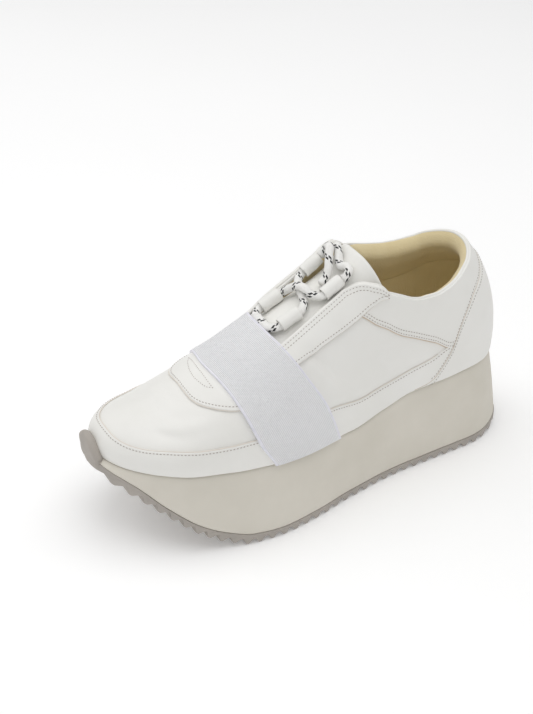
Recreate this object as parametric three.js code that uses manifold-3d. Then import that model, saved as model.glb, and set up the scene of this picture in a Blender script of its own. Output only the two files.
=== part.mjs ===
// Platform sneaker for the left foot, size EU 38: a slip-on with a wide elastic band over the instep.
// Units are millimetres. +Z is up, +Y is the heel, -Y the toe, +X the outer (lateral) side of the foot.
// The origin is on the ground, at the middle of the shoe's length and width.
//
// Every curved piece is worked out from two functions. outline(y, side, level) is the plan of the sole,
// and last(y, side, rise) is the outer skin of the upper: ribs that start on the feather line, where
// upper and midsole meet, and arch over to a ridge along the top of the foot.

import * as THREE from 'three';
import { mergeVertices } from 'three/addons/utils/BufferGeometryUtils.js';
import Module from 'manifold-3d';

const wasm = await Module();
wasm.setup();

// ---------------------------------------------------------------- driving dimensions

const TOE_TIP = -135.5;        // front of the sole, under the toe bumper
const HEEL_TIP = 137;          // back of the sole
const TOE_ROUND_FROM = -85;    // the toe end of the outline is a superellipse from here
const HEEL_ROUND_FROM = 96;    // and the heel end an ellipse from here
const TOE_ROUNDNESS = 2.2;
const HEEL_ROUNDNESS = 2.0;
const TOE_FAN = 29;            // how far the ribs lean back at the toe tip
const TOE_FAN_FROM = -61;
const HEEL_FAN = 50;           // how far they lean forward at the heel
const HEEL_FAN_FROM = 39;

const GAP = 0.3;               // clearance between neighbouring pieces
const UPPER_WALL = 2.0;
const TONGUE_WALL = 2.6;
const INSOLE_THICKNESS = 4.0;
const INSOLE_CLEAR = 1.2;      // between its edge and the inside of the upper
const BAND_THICKNESS = 1.8;
const FACING_THICKNESS = 1.8;
const BUMPER_THICKNESS = 5.4;
const BUMPER_HALF_WIDTH = 12;
const BUMPER_TOP = 63.5;       // height of its top edge at the middle
const BUMPER_DROP = 9;         // and how far the edge falls towards its sides
const BUMPER_DROP_POWER = 2.5; // most of that near the sides
const BUMPER_FOOT = 51;        // it is rooted in the plate below this height
const BUMPER_OFF = 0.4;        // and stands off the leather by this much
const TOOTH_PITCH = 7.7;
const TOOTH_DEPTH = 3.4;
const TOOTH_LAND = 1.8;
const LACE_DIAMETER = 5.0;
const LOOP_WALL = 1.0;

// Sole sections, toe to heel. axis is the x of the centre line, lateral and medial the half widths
// before the ends are rounded, tread the height of the tooth tips, plate the top of the outsole,
// feather the top of the midsole, and flare how far the feather line lies inside the tread's edge.
const SOLE = [
  { y: -135.5, axis: -12.2, lateral: 41.0, medial: 33.0, tread: 46.0, plate: 54.2, feather: 55.5, flare: 4.5 },
  { y: -121, axis: -10.7, lateral: 41.5, medial: 35.5, tread: 37.0, plate: 45.5, feather: 53.2, flare: 4.8 },
  { y: -107, axis: -8.7, lateral: 43.2, medial: 38.0, tread: 25.5, plate: 32.0, feather: 51.6, flare: 5.2 },
  { y: -91, axis: -6.2, lateral: 46.3, medial: 41.5, tread: 12.5, plate: 19.0, feather: 50.0, flare: 6.2 },
  { y: -76, axis: -4.9, lateral: 49.0, medial: 44.0, tread: 4.0, plate: 11.0, feather: 48.8, flare: 7.2 },
  { y: -61, axis: -3.7, lateral: 51.5, medial: 45.3, tread: 0.0, plate: 6.8, feather: 47.8, flare: 8.0 },
  { y: -46, axis: -2.7, lateral: 51.7, medial: 44.6, tread: 0.0, plate: 5.6, feather: 46.4, flare: 8.5 },
  { y: -21, axis: -2.2, lateral: 48.3, medial: 41.0, tread: 0.0, plate: 5.5, feather: 44.8, flare: 7.5 },
  { y: 9, axis: -2.2, lateral: 41.5, medial: 37.0, tread: 0.0, plate: 5.5, feather: 44.8, flare: 6.0 },
  { y: 34, axis: -3.2, lateral: 38.2, medial: 36.0, tread: 0.0, plate: 5.5, feather: 49.8, flare: 5.0 },
  { y: 54, axis: -3.7, lateral: 37.0, medial: 36.2, tread: 0.0, plate: 5.5, feather: 55.0, flare: 4.2 },
  { y: 79, axis: -4.4, lateral: 37.0, medial: 36.8, tread: 0.0, plate: 6.0, feather: 56.4, flare: 4.0 },
  { y: 104, axis: -5.2, lateral: 37.0, medial: 37.0, tread: 0.0, plate: 6.0, feather: 58.5, flare: 4.5 },
  { y: 137, axis: -5.2, lateral: 37.0, medial: 37.0, tread: 3.5, plate: 8.0, feather: 59.0, flare: 10.0 },
];

// Last sections, toe to heel. ridge is the height that the ribs would close at, spine the x of the
// ridge, lateral and medial the exponent of each side's arch (low is boxy, high is peaked) and bulge
// how far the side swells out over the feather line, as a part of the half width.
const LAST = [
  { y: -132, ridge: 76.0, spine: -10.2, lateral: 1.00, medial: 1.00, bulge: 0.05 },
  { y: -103, ridge: 76.0, spine: -8.7, lateral: 1.00, medial: 1.00, bulge: 0.05 },
  { y: -91, ridge: 79.5, spine: -7.7, lateral: 1.00, medial: 1.00, bulge: 0.05 },
  { y: -71, ridge: 88.5, spine: -5.7, lateral: 0.98, medial: 0.98, bulge: 0.05 },
  { y: -51, ridge: 98.5, spine: -4.2, lateral: 0.94, medial: 0.92, bulge: 0.04 },
  { y: -33, ridge: 108.5, spine: -3.2, lateral: 0.90, medial: 0.84, bulge: 0.04 },
  { y: -11, ridge: 119.0, spine: -2.7, lateral: 0.86, medial: 0.75, bulge: 0.03 },
  { y: 9, ridge: 128.0, spine: -3.2, lateral: 0.83, medial: 0.70, bulge: 0.02 },
  { y: 17, ridge: 132.5, spine: -3.7, lateral: 0.80, medial: 0.67, bulge: 0.02 },
  { y: 27, ridge: 142.0, spine: -4.2, lateral: 0.70, medial: 0.63, bulge: 0.02 },
  { y: 37, ridge: 151.0, spine: -4.7, lateral: 0.62, medial: 0.60, bulge: 0.03 },
  { y: 59, ridge: 160.0, spine: -5.2, lateral: 0.68, medial: 0.68, bulge: 0.05 },
  { y: 87, ridge: 160.0, spine: -5.2, lateral: 1.05, medial: 1.05, bulge: 0.06 },
  { y: 107, ridge: 160.0, spine: -5.2, lateral: 1.60, medial: 1.60, bulge: 0.05 },
  { y: 127, ridge: 160.0, spine: -5.2, lateral: 2.10, medial: 2.10, bulge: 0.09 },
];

// The throat, by rib: how far it is open on each side of the ridge, and how far out the facings that
// frame it reach, as parts of the half width, and how far the medial edge stands up off the tongue,
// in mm. It ends in a point under the band.
const THROAT = [
  { y: -50, lateral: 0.00, medial: 0.00, lateralFacing: 0.64, medialFacing: 0.62, stand: 0 },
  { y: -41, lateral: 0.34, medial: 0.36, lateralFacing: 0.66, medialFacing: 0.66, stand: 0 },
  { y: -31, lateral: 0.44, medial: 0.50, lateralFacing: 0.67, medialFacing: 0.72, stand: 0 },
  { y: -11, lateral: 0.42, medial: 0.56, lateralFacing: 0.68, medialFacing: 0.78, stand: 4.5 },
  { y: 13, lateral: 0.40, medial: 0.56, lateralFacing: 0.70, medialFacing: 0.79, stand: 7 },
  { y: 19, lateral: 0.45, medial: 0.58, lateralFacing: 0.715, medialFacing: 0.80, stand: 7 },
  { y: 29, lateral: 0.65, medial: 0.66, lateralFacing: 0.76, medialFacing: 0.82, stand: 5 },
  { y: 37, lateral: 0.79, medial: 0.735, lateralFacing: 0.81, medialFacing: 0.83, stand: 0 },
];

// The collar, by rib: the height of its edge on each side of the foot.
const COLLAR = [
  { y: 37, lateral: 124.0, medial: 131.0 },
  { y: 45, lateral: 120.5, medial: 128.0 },
  { y: 53, lateral: 117.0, medial: 125.0 },
  { y: 61, lateral: 115.5, medial: 122.7 },
  { y: 69, lateral: 115.5, medial: 121.0 },
  { y: 79, lateral: 117.5, medial: 120.2 },
  { y: 91, lateral: 121.5, medial: 120.8 },
  { y: 104, lateral: 125.5, medial: 124.0 },
  { y: 127, lateral: 130.0, medial: 130.0 },
];

// ---------------------------------------------------------------- curves through the tables

const LATERAL = 1;
const MEDIAL = -1;

// A smooth curve through one named column of a table, without overshoot (monotone cubic).
function curve(rows, name, by = 'y') {
  const x = rows.map((row) => row[by]);
  const v = rows.map((row) => row[name]);
  const last = x.length - 1;
  const slope = [];
  for (let i = 0; i < last; i += 1) slope.push((v[i + 1] - v[i]) / (x[i + 1] - x[i]));
  const tangent = x.map((_, i) => {
    if (i === 0) return slope[0];
    if (i === last) return slope[last - 1];
    const product = slope[i - 1] * slope[i];
    return product <= 0 ? 0 : (2 * product) / (slope[i - 1] + slope[i]);
  });
  return (at) => {
    const a = Math.min(Math.max(at, x[0]), x[last]);
    let i = 0;
    while (i < last - 1 && a > x[i + 1]) i += 1;
    const h = x[i + 1] - x[i];
    const t = (a - x[i]) / h;
    const u = 1 - t;
    return v[i] * u * u * (1 + 2 * t) + v[i + 1] * t * t * (3 - 2 * t)
      + h * t * u * (tangent[i] * u - tangent[i + 1] * t);
  };
}

const sole = Object.fromEntries(
  Object.keys(SOLE[0]).slice(1).map((name) => [name, curve(SOLE, name)]),
);
const foot = Object.fromEntries(
  Object.keys(LAST[0]).slice(1).map((name) => [name, curve(LAST, name)]),
);
const arch = { [LATERAL]: foot.lateral, [MEDIAL]: foot.medial };
const throatOpen = {
  [LATERAL]: curve(THROAT, 'lateral'),
  [MEDIAL]: curve(THROAT, 'medial'),
};
const facingReach = {
  [LATERAL]: curve(THROAT, 'lateralFacing'),
  [MEDIAL]: curve(THROAT, 'medialFacing'),
};
const throatStand = curve(THROAT, 'stand');
const collarHeight = {
  [LATERAL]: curve(COLLAR, 'lateral'),
  [MEDIAL]: curve(COLLAR, 'medial'),
};

// ---------------------------------------------------------------- the sole's plan and the last

// level runs from 0, the edge of the tread, to 1, the feather line; inset moves the edge inwards.
function tips(level, inset = 0) {
  return {
    toe: TOE_TIP + level * sole.flare(TOE_TIP) + inset,
    heel: HEEL_TIP - level * sole.flare(HEEL_TIP) - inset,
  };
}

function endRound(y, { toe, heel }) {
  if (y > HEEL_ROUND_FROM) {
    const u = Math.min(1, (y - HEEL_ROUND_FROM) / (heel - HEEL_ROUND_FROM));
    return (1 - u ** HEEL_ROUNDNESS) ** (1 / HEEL_ROUNDNESS);
  }
  if (y < TOE_ROUND_FROM) {
    const u = Math.min(1, (TOE_ROUND_FROM - y) / (TOE_ROUND_FROM - toe));
    return (1 - u ** TOE_ROUNDNESS) ** (1 / TOE_ROUNDNESS);
  }
  return 1;
}

function outline(y, side, level, inset = 0) {
  const half = side === LATERAL ? sole.lateral(y) : sole.medial(y);
  const reach = (half - level * sole.flare(y) - inset) * endRound(y, tips(level, inset));
  return sole.axis(y) + side * reach;
}

// Stations from heel to toe, close together round the two ends.
function stations(level, inset, endSteps, middleSteps) {
  const { toe, heel } = tips(level, inset);
  const ys = [];
  for (let i = 0; i < endSteps; i += 1) {
    const turn = (i / endSteps) * Math.PI / 2;
    ys.push(HEEL_ROUND_FROM + (heel - HEEL_ROUND_FROM) * Math.cos(turn));
  }
  for (let i = 0; i <= middleSteps; i += 1) {
    ys.push(HEEL_ROUND_FROM + (TOE_ROUND_FROM - HEEL_ROUND_FROM) * (i / middleSteps));
  }
  for (let i = 1; i <= endSteps; i += 1) {
    const turn = (i / endSteps) * Math.PI / 2;
    ys.push(TOE_ROUND_FROM + (toe - TOE_ROUND_FROM) * Math.sin(turn));
  }
  return ys;
}

const BULGE_PEAK = 1.5 * Math.sqrt(3); // scales sin * cos^2 to a top of 1

// One point of the last: y names the rib by its foot, rise goes from 0, the feather line, to 1, the
// ridge.
function last(y, side, rise) {
  const turn = rise * Math.PI / 2;
  const toward = 1 - Math.cos(turn) ** arch[side](y)
    - foot.bulge(y) * BULGE_PEAK * Math.sin(turn) * Math.cos(turn) ** 2;
  const toeLean = Math.max(0, (TOE_FAN_FROM - y) / (TOE_FAN_FROM - tips(1).toe));
  const heelLean = Math.max(0, (y - HEEL_FAN_FROM) / (tips(1).heel - HEEL_FAN_FROM));
  const spineY = y + TOE_FAN * toeLean ** 2 - HEEL_FAN * heelLean ** 2;
  const footX = outline(y, side, 1);
  const px = footX + (foot.spine(spineY) - footX) * toward;
  const py = y + (spineY - y) * toward;
  const floor = sole.feather(y);
  return new THREE.Vector3(px, py, floor + (foot.ridge(py) - floor) * Math.sin(turn));
}

// How far up its rib the upper goes: to the throat's edge, to the collar's, or over the ridge.
function riseAtWidth(y, side, part) {
  return Math.acos(part ** (1 / arch[side](y))) / (Math.PI / 2);
}

function riseAtHeight(y, side, height) {
  const HALVINGS = 30;
  let low = 0;
  let high = 1;
  for (let i = 0; i < HALVINGS; i += 1) {
    const middle = (low + high) / 2;
    if (last(y, side, middle).z < height) low = middle;
    else high = middle;
  }
  return low;
}

function openingRise(y, side) {
  if (y < COLLAR[0].y) return riseAtWidth(y, side, throatOpen[side](y));
  return riseAtHeight(y, side, collarHeight[side](y));
}

// The upper's outer skin: the last, but for the medial edge of the throat, which is turned up off it
// between the facing's two edges.
const STAND_WAY = new THREE.Vector3(-0.35, 0, 0.94);
const STAND_POWER = 1.4;
function skin(y, side, rise) {
  const p = last(y, side, rise);
  if (side === LATERAL || y > COLLAR[0].y) return p;
  const from = riseAtWidth(y, side, facingReach[side](y));
  const to = riseAtWidth(y, side, throatOpen[side](y));
  const part = Math.min(1, Math.max(0, (rise - from) / (to - from)));
  return p.addScaledVector(STAND_WAY, throatStand(y) * part ** STAND_POWER);
}

// ---------------------------------------------------------------- closed solids from surfaces

// A closed geometry from points and triangles.
function solid(points, triangles) {
  const geometry = new THREE.BufferGeometry();
  geometry.setAttribute('position', new THREE.Float32BufferAttribute(points.flatMap((p) => [p.x, p.y, p.z]), 3));
  geometry.setIndex(triangles.flat());
  return geometry;
}

// Points and triangles of a surface given as rows of points, all of one length; points that coincide
// become one.
function surface(rows, ring = false) {
  const points = [];
  const known = new Map();
  const index = rows.map((row) => row.map((p) => {
    const key = [p.x, p.y, p.z].map((c) => Math.round(c * 1e4)).join();
    if (!known.has(key)) {
      known.set(key, points.length);
      points.push(p);
    }
    return known.get(key);
  }));
  const triangles = [];
  const count = ring ? index.length : index.length - 1;
  for (let i = 0; i < count; i += 1) {
    const a = index[i];
    const b = index[(i + 1) % index.length];
    for (let j = 0; j + 1 < a.length; j += 1) {
      for (const t of [[a[j], b[j + 1], b[j]], [a[j], a[j + 1], b[j + 1]]]) {
        if (t[0] !== t[1] && t[1] !== t[2] && t[2] !== t[0]) triangles.push(t);
      }
    }
  }
  return { points, triangles };
}

// A shell between two offsets of a surface, closed along its open edges. The surface's triangles
// face outwards.
function shell({ points, triangles }, inner, outer) {
  const skin = solid(points, triangles);
  skin.computeVertexNormals();
  const normals = skin.getAttribute('normal');
  const move = (offset) => points.map((p, i) => (
    new THREE.Vector3().fromBufferAttribute(normals, i).multiplyScalar(offset).add(p)
  ));
  const n = points.length;
  const all = [...triangles];
  const edges = new Set();
  triangles.forEach((t) => t.forEach((v, i) => edges.add(`${v},${t[(i + 1) % 3]}`)));
  triangles.forEach(([a, b, c]) => all.push([a + n, c + n, b + n]));
  edges.forEach((edge) => {
    const [a, b] = edge.split(',').map(Number);
    if (!edges.has(`${b},${a}`)) all.push([b, a, a + n], [b, a + n, b + n]);
  });
  return solid([...move(outer), ...move(inner)], all);
}

// A slab between two outlines: the same stations of both edges below and above.
function slab(bottom, top) {
  const ring = ({ ys, level, inset = 0, height }) => {
    const edge = (side) => ys.map((y) => new THREE.Vector3(outline(y, side, level, inset), y, height(y)));
    return { lateral: edge(LATERAL), medial: edge(MEDIAL) };
  };
  const low = ring(bottom);
  const high = ring(top);
  const rows = low.lateral.map((_, i) => [
    low.medial[i], low.lateral[i], high.lateral[i], high.medial[i], low.medial[i],
  ]);
  const { points, triangles } = surface(rows);
  return solid(points, triangles);
}

function manifold(geometry) {
  const bare = geometry.clone();
  ['normal', 'uv'].forEach((name) => bare.deleteAttribute(name));
  const merged = mergeVertices(bare, 1e-4);
  return new wasm.Manifold(new wasm.Mesh({
    numProp: 3,
    vertProperties: new Float32Array(merged.attributes.position.array),
    triVerts: new Uint32Array(merged.index.array),
  }));
}

function fromManifold(body) {
  const mesh = body.getMesh();
  const geometry = new THREE.BufferGeometry();
  geometry.setAttribute('position', new THREE.BufferAttribute(new Float32Array(mesh.vertProperties), 3));
  geometry.setIndex(new THREE.BufferAttribute(new Uint32Array(mesh.triVerts), 1));
  return geometry;
}

// ---------------------------------------------------------------- scene

const shoe = new THREE.Group();

function add(name, geometry, finish) {
  const mesh = new THREE.Mesh(geometry, new THREE.MeshStandardMaterial(finish));
  mesh.name = name;
  shoe.add(mesh);
}

const RUBBER = { color: 0x96918c, roughness: 0.8, metalness: 0 };
const FOAM = { color: 0xc6c2b6, roughness: 0.75, metalness: 0 };
const LEATHER = { color: 0xecebe6, roughness: 0.5, metalness: 0 };
const LINING = { color: 0xb5a57c, roughness: 0.9, metalness: 0 };
const ELASTIC = { color: 0xdedee2, roughness: 0.9, metalness: 0 };
const CORD = { color: 0xf2f2f0, roughness: 0.85, metalness: 0 };

const SOLE_STEPS = [9, 24];    // stations round each end, and between them
const MIDSOLE_INSET = 0.5;     // the rubber's edge stands out from the foam

// Outsole: a rubber plate with ripple lugs running across it, cut to the sole's plan, and a bumper of
// the same rubber that turns up over the toe.
function rippledPlate() {
  const VALLEY_STEPS = 4;
  const HALF_WIDTH = 70;         // the bar is cut from stock wider, longer and taller than the sole
  const STOCK_HEIGHT = 80;
  const STOCK_BELOW = 5;
  const startY = TOE_TIP - 2;
  const endY = HEEL_TIP + 4;
  // a point of the side profile, depth mm into the rubber from the line of the tooth tips
  const below = (y, depth) => {
    const slope = sole.tread(y + 0.5) - sole.tread(y - 0.5);
    const long = Math.hypot(1, slope);
    return [y - depth * slope / long, sole.tread(y) + depth / long];
  };
  const profile = new THREE.Shape();
  profile.moveTo(...below(startY, 0));
  let y = startY;
  while (y < endY) {
    const slope = sole.tread(y + 0.5) - sole.tread(y - 0.5);
    const stretch = 1 / Math.hypot(1, slope);
    const valley = TOOTH_PITCH - TOOTH_LAND;
    profile.lineTo(...below(y + TOOTH_LAND * stretch, 0));
    for (let i = 1; i < VALLEY_STEPS; i += 1) {
      const part = i / VALLEY_STEPS;
      profile.lineTo(...below(
        y + (TOOTH_LAND + valley * part) * stretch,
        TOOTH_DEPTH * Math.sin(Math.PI * part),
      ));
    }
    y += TOOTH_PITCH * stretch;
    profile.lineTo(...below(y, 0));
  }
  [y, ...stations(0, MIDSOLE_INSET, ...SOLE_STEPS), startY].forEach((along) => {
    profile.lineTo(along, sole.plate(along) - GAP);
  });
  const bar = new THREE.ExtrudeGeometry(profile, { depth: 2 * HALF_WIDTH, bevelEnabled: false });
  // the profile's x becomes y, its y becomes z, and the extrusion runs along x
  bar.applyMatrix4(new THREE.Matrix4().makeBasis(
    new THREE.Vector3(0, 1, 0), new THREE.Vector3(0, 0, 1), new THREE.Vector3(1, 0, 0),
  ).setPosition(-HALF_WIDTH, 0, 0));
  const ys = stations(0, 0, ...SOLE_STEPS);
  const plan = new THREE.Shape([
    ...ys.map((at) => new THREE.Vector2(outline(at, LATERAL, 0), at)),
    ...ys.slice(1, -1).reverse().map((at) => new THREE.Vector2(outline(at, MEDIAL, 0), at)),
  ]);
  const tall = new THREE.ExtrudeGeometry(plan, { depth: STOCK_HEIGHT, bevelEnabled: false });
  tall.translate(0, 0, -STOCK_BELOW);
  return manifold(bar).intersect(manifold(tall));
}

// The rib whose foot lies a given distance to one side of the toe tip.
function toeRib(side, distance) {
  const toe = tips(1).toe;
  const half = (side === LATERAL ? sole.lateral(toe) : sole.medial(toe)) - sole.flare(toe);
  const part = Math.min(1, distance / half) ** TOE_ROUNDNESS;
  return TOE_ROUND_FROM + (toe - TOE_ROUND_FROM) * (1 - part) ** (1 / TOE_ROUNDNESS);
}

function bumper(clearance = 0) {
  const halfWidth = BUMPER_HALF_WIDTH + clearance;
  const ACROSS_STEPS = 14;
  const rows = [];
  for (let i = 0; i <= ACROSS_STEPS; i += 1) {
    const u = 1 - 2 * (i / ACROSS_STEPS);
    const side = u >= 0 ? LATERAL : MEDIAL;
    const y = toeRib(side, Math.abs(u) * halfWidth);
    const top = BUMPER_TOP - BUMPER_DROP * Math.abs(u) ** BUMPER_DROP_POWER;
    const rise = riseAtHeight(y, side, top);
    const foundation = last(y, side, 0).setZ(BUMPER_FOOT - clearance);
    rows.push([foundation, ...[0, 0.5, 1].map((part) => last(y, side, rise * part))]);
  }
  return shell(surface(rows), BUMPER_OFF - clearance, BUMPER_OFF + BUMPER_THICKNESS + clearance);
}
add('outsole', fromManifold(rippledPlate().add(manifold(bumper()))), RUBBER);

// Midsole: the foam platform, a wedge that runs out to nothing at the toe.
function midsole() {
  const tread = { level: 0, inset: MIDSOLE_INSET };
  const wedge = slab(
    { ...tread, ys: stations(0, MIDSOLE_INSET, ...SOLE_STEPS), height: sole.plate },
    { level: 1, ys: stations(1, 0, ...SOLE_STEPS), height: (y) => sole.feather(y) - GAP },
  );
  return fromManifold(manifold(wedge).subtract(manifold(bumper(GAP))));
}
add('midsole', midsole(), FOAM);

// Insole: a padded board inside the upper.
function insole() {
  const INSOLE_STEPS = [6, 20];
  const edge = UPPER_WALL + INSOLE_CLEAR;
  const plan = { ys: stations(1, edge, ...INSOLE_STEPS), level: 1, inset: edge };
  return slab(
    { ...plan, height: (y) => sole.feather(y) + GAP },
    { ...plan, height: (y) => sole.feather(y) + GAP + INSOLE_THICKNESS },
  );
}
add('insole', insole(), LINING);

// Upper: one hollow skin from the feather line up to the throat and the collar.
function upper() {
  const WALL_STEPS = 8;          // up to the facing, and across it
  const EDGE_STEPS = 4;
  const RIB_STEPS = [9, 30];
  const ys = stations(1, 0, ...RIB_STEPS);
  const rib = (y, side) => {
    const top = openingRise(y, side);
    const shoulder = y < COLLAR[0].y
      ? Math.min(top, riseAtWidth(y, side, facingReach[side](y)))
      : top * (WALL_STEPS / (WALL_STEPS + EDGE_STEPS));
    return Array.from({ length: WALL_STEPS + EDGE_STEPS + 1 }, (_, j) => skin(y, side, (
      j < WALL_STEPS
        ? shoulder * (j / WALL_STEPS)
        : shoulder + (top - shoulder) * ((j - WALL_STEPS) / EDGE_STEPS)
    )));
  };
  const around = [
    ...ys.map((y) => rib(y, LATERAL)),
    ...ys.slice(1, -1).reverse().map((y) => rib(y, MEDIAL)),
  ];
  return shell(surface(around, true), -UPPER_WALL, 0);
}
add('upper', upper(), LEATHER);

// A patch of the last: rows run from the lateral edge over the ridge to the medial edge. at(u, v)
// gives the rib and the signed rise for u from -1 (medial) to 1 (lateral) and v from 0 to 1.
function patch(at, acrossSteps, alongSteps) {
  const rows = [];
  for (let i = 0; i <= acrossSteps; i += 1) {
    const row = [];
    for (let j = 0; j <= alongSteps; j += 1) {
      const { y, side, rise } = at(1 - 2 * (i / acrossSteps), j / alongSteps);
      row.push(last(y, side, rise));
    }
    rows.push(row);
  }
  return surface(rows);
}

const sideOf = (u) => (u >= 0 ? LATERAL : MEDIAL);

// Tongue: a padded sheet under the throat, cut from the last itself; its top edge is an arch.
const TONGUE_FRONT = -55;
const TONGUE_TOP = 28;         // rib of the arch's crown
const TONGUE_SIDE_TOP = 38;    // rib where the arch meets the facings
const TONGUE_REACH = 0.8;      // how far the sides reach, as a part of the half width
const TONGUE_NARROW_FROM = 7;  // the free end narrows from here to the top
const TONGUE_NARROW = 0.12;     // by this part of its width
const TONGUE_NARROW_POWER = 1.5;
const TONGUE_UNDER = UPPER_WALL + 3 * GAP;  // how far its top face lies below the last
function tongue() {
  const sheet = patch((u, v) => {
    const end = TONGUE_TOP + (TONGUE_SIDE_TOP - TONGUE_TOP) * u * u;
    const y = TONGUE_FRONT + (end - TONGUE_FRONT) * v;
    const side = sideOf(u);
    return { y, side, rise: 1 - (1 - riseAtWidth(y, side, TONGUE_REACH)) * Math.abs(u) };
  }, 20, 12);
  sheet.points.forEach((p) => {
    const free = Math.max(0, (p.y - TONGUE_NARROW_FROM) / (TONGUE_SIDE_TOP - TONGUE_NARROW_FROM));
    const spine = foot.spine(p.y);
    p.x = spine + (p.x - spine) * (1 - TONGUE_NARROW * free ** TONGUE_NARROW_POWER);
  });
  return shell(sheet, -TONGUE_UNDER - TONGUE_WALL, -TONGUE_UNDER);
}
add('tongue', tongue(), LEATHER);

// Elastic band: one wide strip over the instep, from feather line to feather line. part runs from
// the ridge, 0, to the feather line, 1: the band leans back as it runs down.
const BAND = [
  { part: 0, front: -67.5, rear: -32 },
  { part: 0.14, front: -65.3, rear: -30.8 },
  { part: 0.3, front: -63, rear: -27.5 },
  { part: 0.55, front: -59.5, rear: -20 },
  { part: 0.8, front: -54.5, rear: -8.5 },
  { part: 1, front: -45.5, rear: 0 },
];
const bandFront = curve(BAND, 'front', 'part');
const bandRear = curve(BAND, 'rear', 'part');
const OVERLAY = 2 * GAP;       // clearance under what lies on the upper

function elasticBand() {
  const strip = patch((u, v) => {
    const part = Math.abs(u);
    const y = bandFront(part) + (bandRear(part) - bandFront(part)) * v;
    return { y, side: sideOf(u), rise: 1 - part };
  }, 32, 6);
  return shell(strip, OVERLAY, OVERLAY + BAND_THICKNESS);
}
add('elastic_band', elasticBand(), ELASTIC);

// Facings: a folded strip along each side of the throat, from the band to the collar.
const FACING_TOP = { [LATERAL]: 35, [MEDIAL]: 31.5 };
function facing(side) {
  const ACROSS_STEPS = 5;
  const ALONG_STEPS = 14;
  const rows = [];
  for (let i = 0; i <= ACROSS_STEPS; i += 1) {
    const across = i / ACROSS_STEPS;
    const row = [];
    for (let j = 0; j <= ALONG_STEPS; j += 1) {
      const part = (y) => throatOpen[side](y) * (1 - across) + facingReach[side](y) * across;
      const start = bandRear(1 - riseAtWidth(BAND[0].rear, side, part(BAND[0].rear))) + 1;
      const y = start + (FACING_TOP[side] - start) * (j / ALONG_STEPS);
      row.push(skin(y, side, riseAtWidth(y, side, part(y))));
    }
    rows.push(row);
  }
  if (side === LATERAL) rows.reverse();
  return shell(surface(rows), OVERLAY, OVERLAY + FACING_THICKNESS);
}
add('facing_lateral', facing(LATERAL), LEATHER);
add('facing_medial', facing(MEDIAL), LEATHER);

// Lace loops: four short leather tubes that lie on the tongue, two to a side, along the throat.
// offset is the distance from the middle of the throat; lift is how far each end is off the tongue.
const LOOPS = [
  { name: 'lower_lateral', offset: 11, front: -24, frontLift: 0, back: -12, backLift: 0 },
  { name: 'lower_medial', offset: -11, front: -24, frontLift: 0.4, back: -12, backLift: 0.4 },
  { name: 'upper_lateral', offset: 11, front: 3.5, frontLift: 0, back: 15, backLift: 0 },
  { name: 'upper_medial', offset: -13, front: 4.5, frontLift: 3.2, back: 15, backLift: 4.2 },
];
const LOOP_RADIUS = LACE_DIAMETER / 2 + 2 * GAP + LOOP_WALL;
const LOOP_SEGMENTS = 6;       // in half of its round

// Height of a thread of a given radius that lies on the tongue, offset mm from the throat's middle.
function restingHeight(y, offset, radius) {
  const side = offset >= 0 ? LATERAL : MEDIAL;
  const reach = Math.abs(outline(y, side, 1) - foot.spine(y));
  const at = (along) => last(along, side, riseAtWidth(along, side, Math.abs(offset) / reach)).z;
  const slope = at(y + 1) - at(y - 1);
  return at(y) + (radius + GAP - TONGUE_UNDER) * Math.hypot(1, slope / 2);
}

// A straight tube with a round bore between two points.
function tube(from, to, outer, inner, segments) {
  const ring = new THREE.Shape().absarc(0, 0, outer, 0, 2 * Math.PI);
  ring.holes.push(new THREE.Path().absarc(0, 0, inner, 0, 2 * Math.PI, true));
  const geometry = new THREE.ExtrudeGeometry(ring, {
    depth: from.distanceTo(to), bevelEnabled: false, curveSegments: segments,
  });
  const turn = new THREE.Quaternion().setFromUnitVectors(
    new THREE.Vector3(0, 0, 1), to.clone().sub(from).normalize(),
  );
  return geometry.applyQuaternion(turn).translate(from.x, from.y, from.z);
}

for (const { name, offset, front, frontLift, back, backLift } of LOOPS) {
  const end = (y, lift) => (
    new THREE.Vector3(foot.spine(y) + offset, y, restingHeight(y, offset, LOOP_RADIUS) + lift)
  );
  const geometry = tube(
    end(front, frontLift), end(back, backLift), LOOP_RADIUS, LOOP_RADIUS - LOOP_WALL, LOOP_SEGMENTS,
  );
  add(`lace_loop_${name}`, geometry, LEATHER);
}

// Lace: one round cord. It starts in the upper lateral loop, crosses over to the lower medial one,
// runs along the band to the other side and crosses back, under itself, to the upper medial loop.
// offset is the distance from the middle of the throat, lift how far it rises off the tongue.
const LACE_CROSSING = [
  { offset: 11, y: 14.6, lift: 1.6 },
  { offset: 11, y: 9, lift: 1.6 },
  { offset: 11, y: 2.4, lift: 1.6 },
  { offset: 8.2, y: -2.2, lift: 3.2 },
  { offset: 3.5, y: -4.6, lift: 5.8 },
  { offset: -1.5, y: -5.8, lift: 5.6 },
  { offset: -6.8, y: -7.2, lift: 3.0 },
  { offset: -11, y: -11, lift: 2.0 },
  { offset: -11, y: -18, lift: 2.0 },
  { offset: -11, y: -25, lift: 2.0 },
  { offset: -8.0, y: -28.6, lift: 1.2 },
  { offset: -3, y: -29.4, lift: 0.8 },
  { offset: 3, y: -29.4, lift: 0.8 },
  { offset: 8.0, y: -28.6, lift: 1.2 },
  { offset: 11, y: -25, lift: 1.6 },
  { offset: 11, y: -18, lift: 1.6 },
  { offset: 11, y: -11, lift: 1.6 },
  { offset: 7.4, y: -6.8, lift: 0.4 },
  { offset: 1.5, y: -4.6, lift: 0 },
  { offset: -4.5, y: -3.2, lift: 0.4 },
  { offset: -10.0, y: -0.6, lift: 2.6 },
  { offset: -13, y: 3.4, lift: 4.6 },
  { offset: -13, y: 9, lift: 5.3 },
  { offset: -13, y: 14.4, lift: 5.8 },
];
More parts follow.
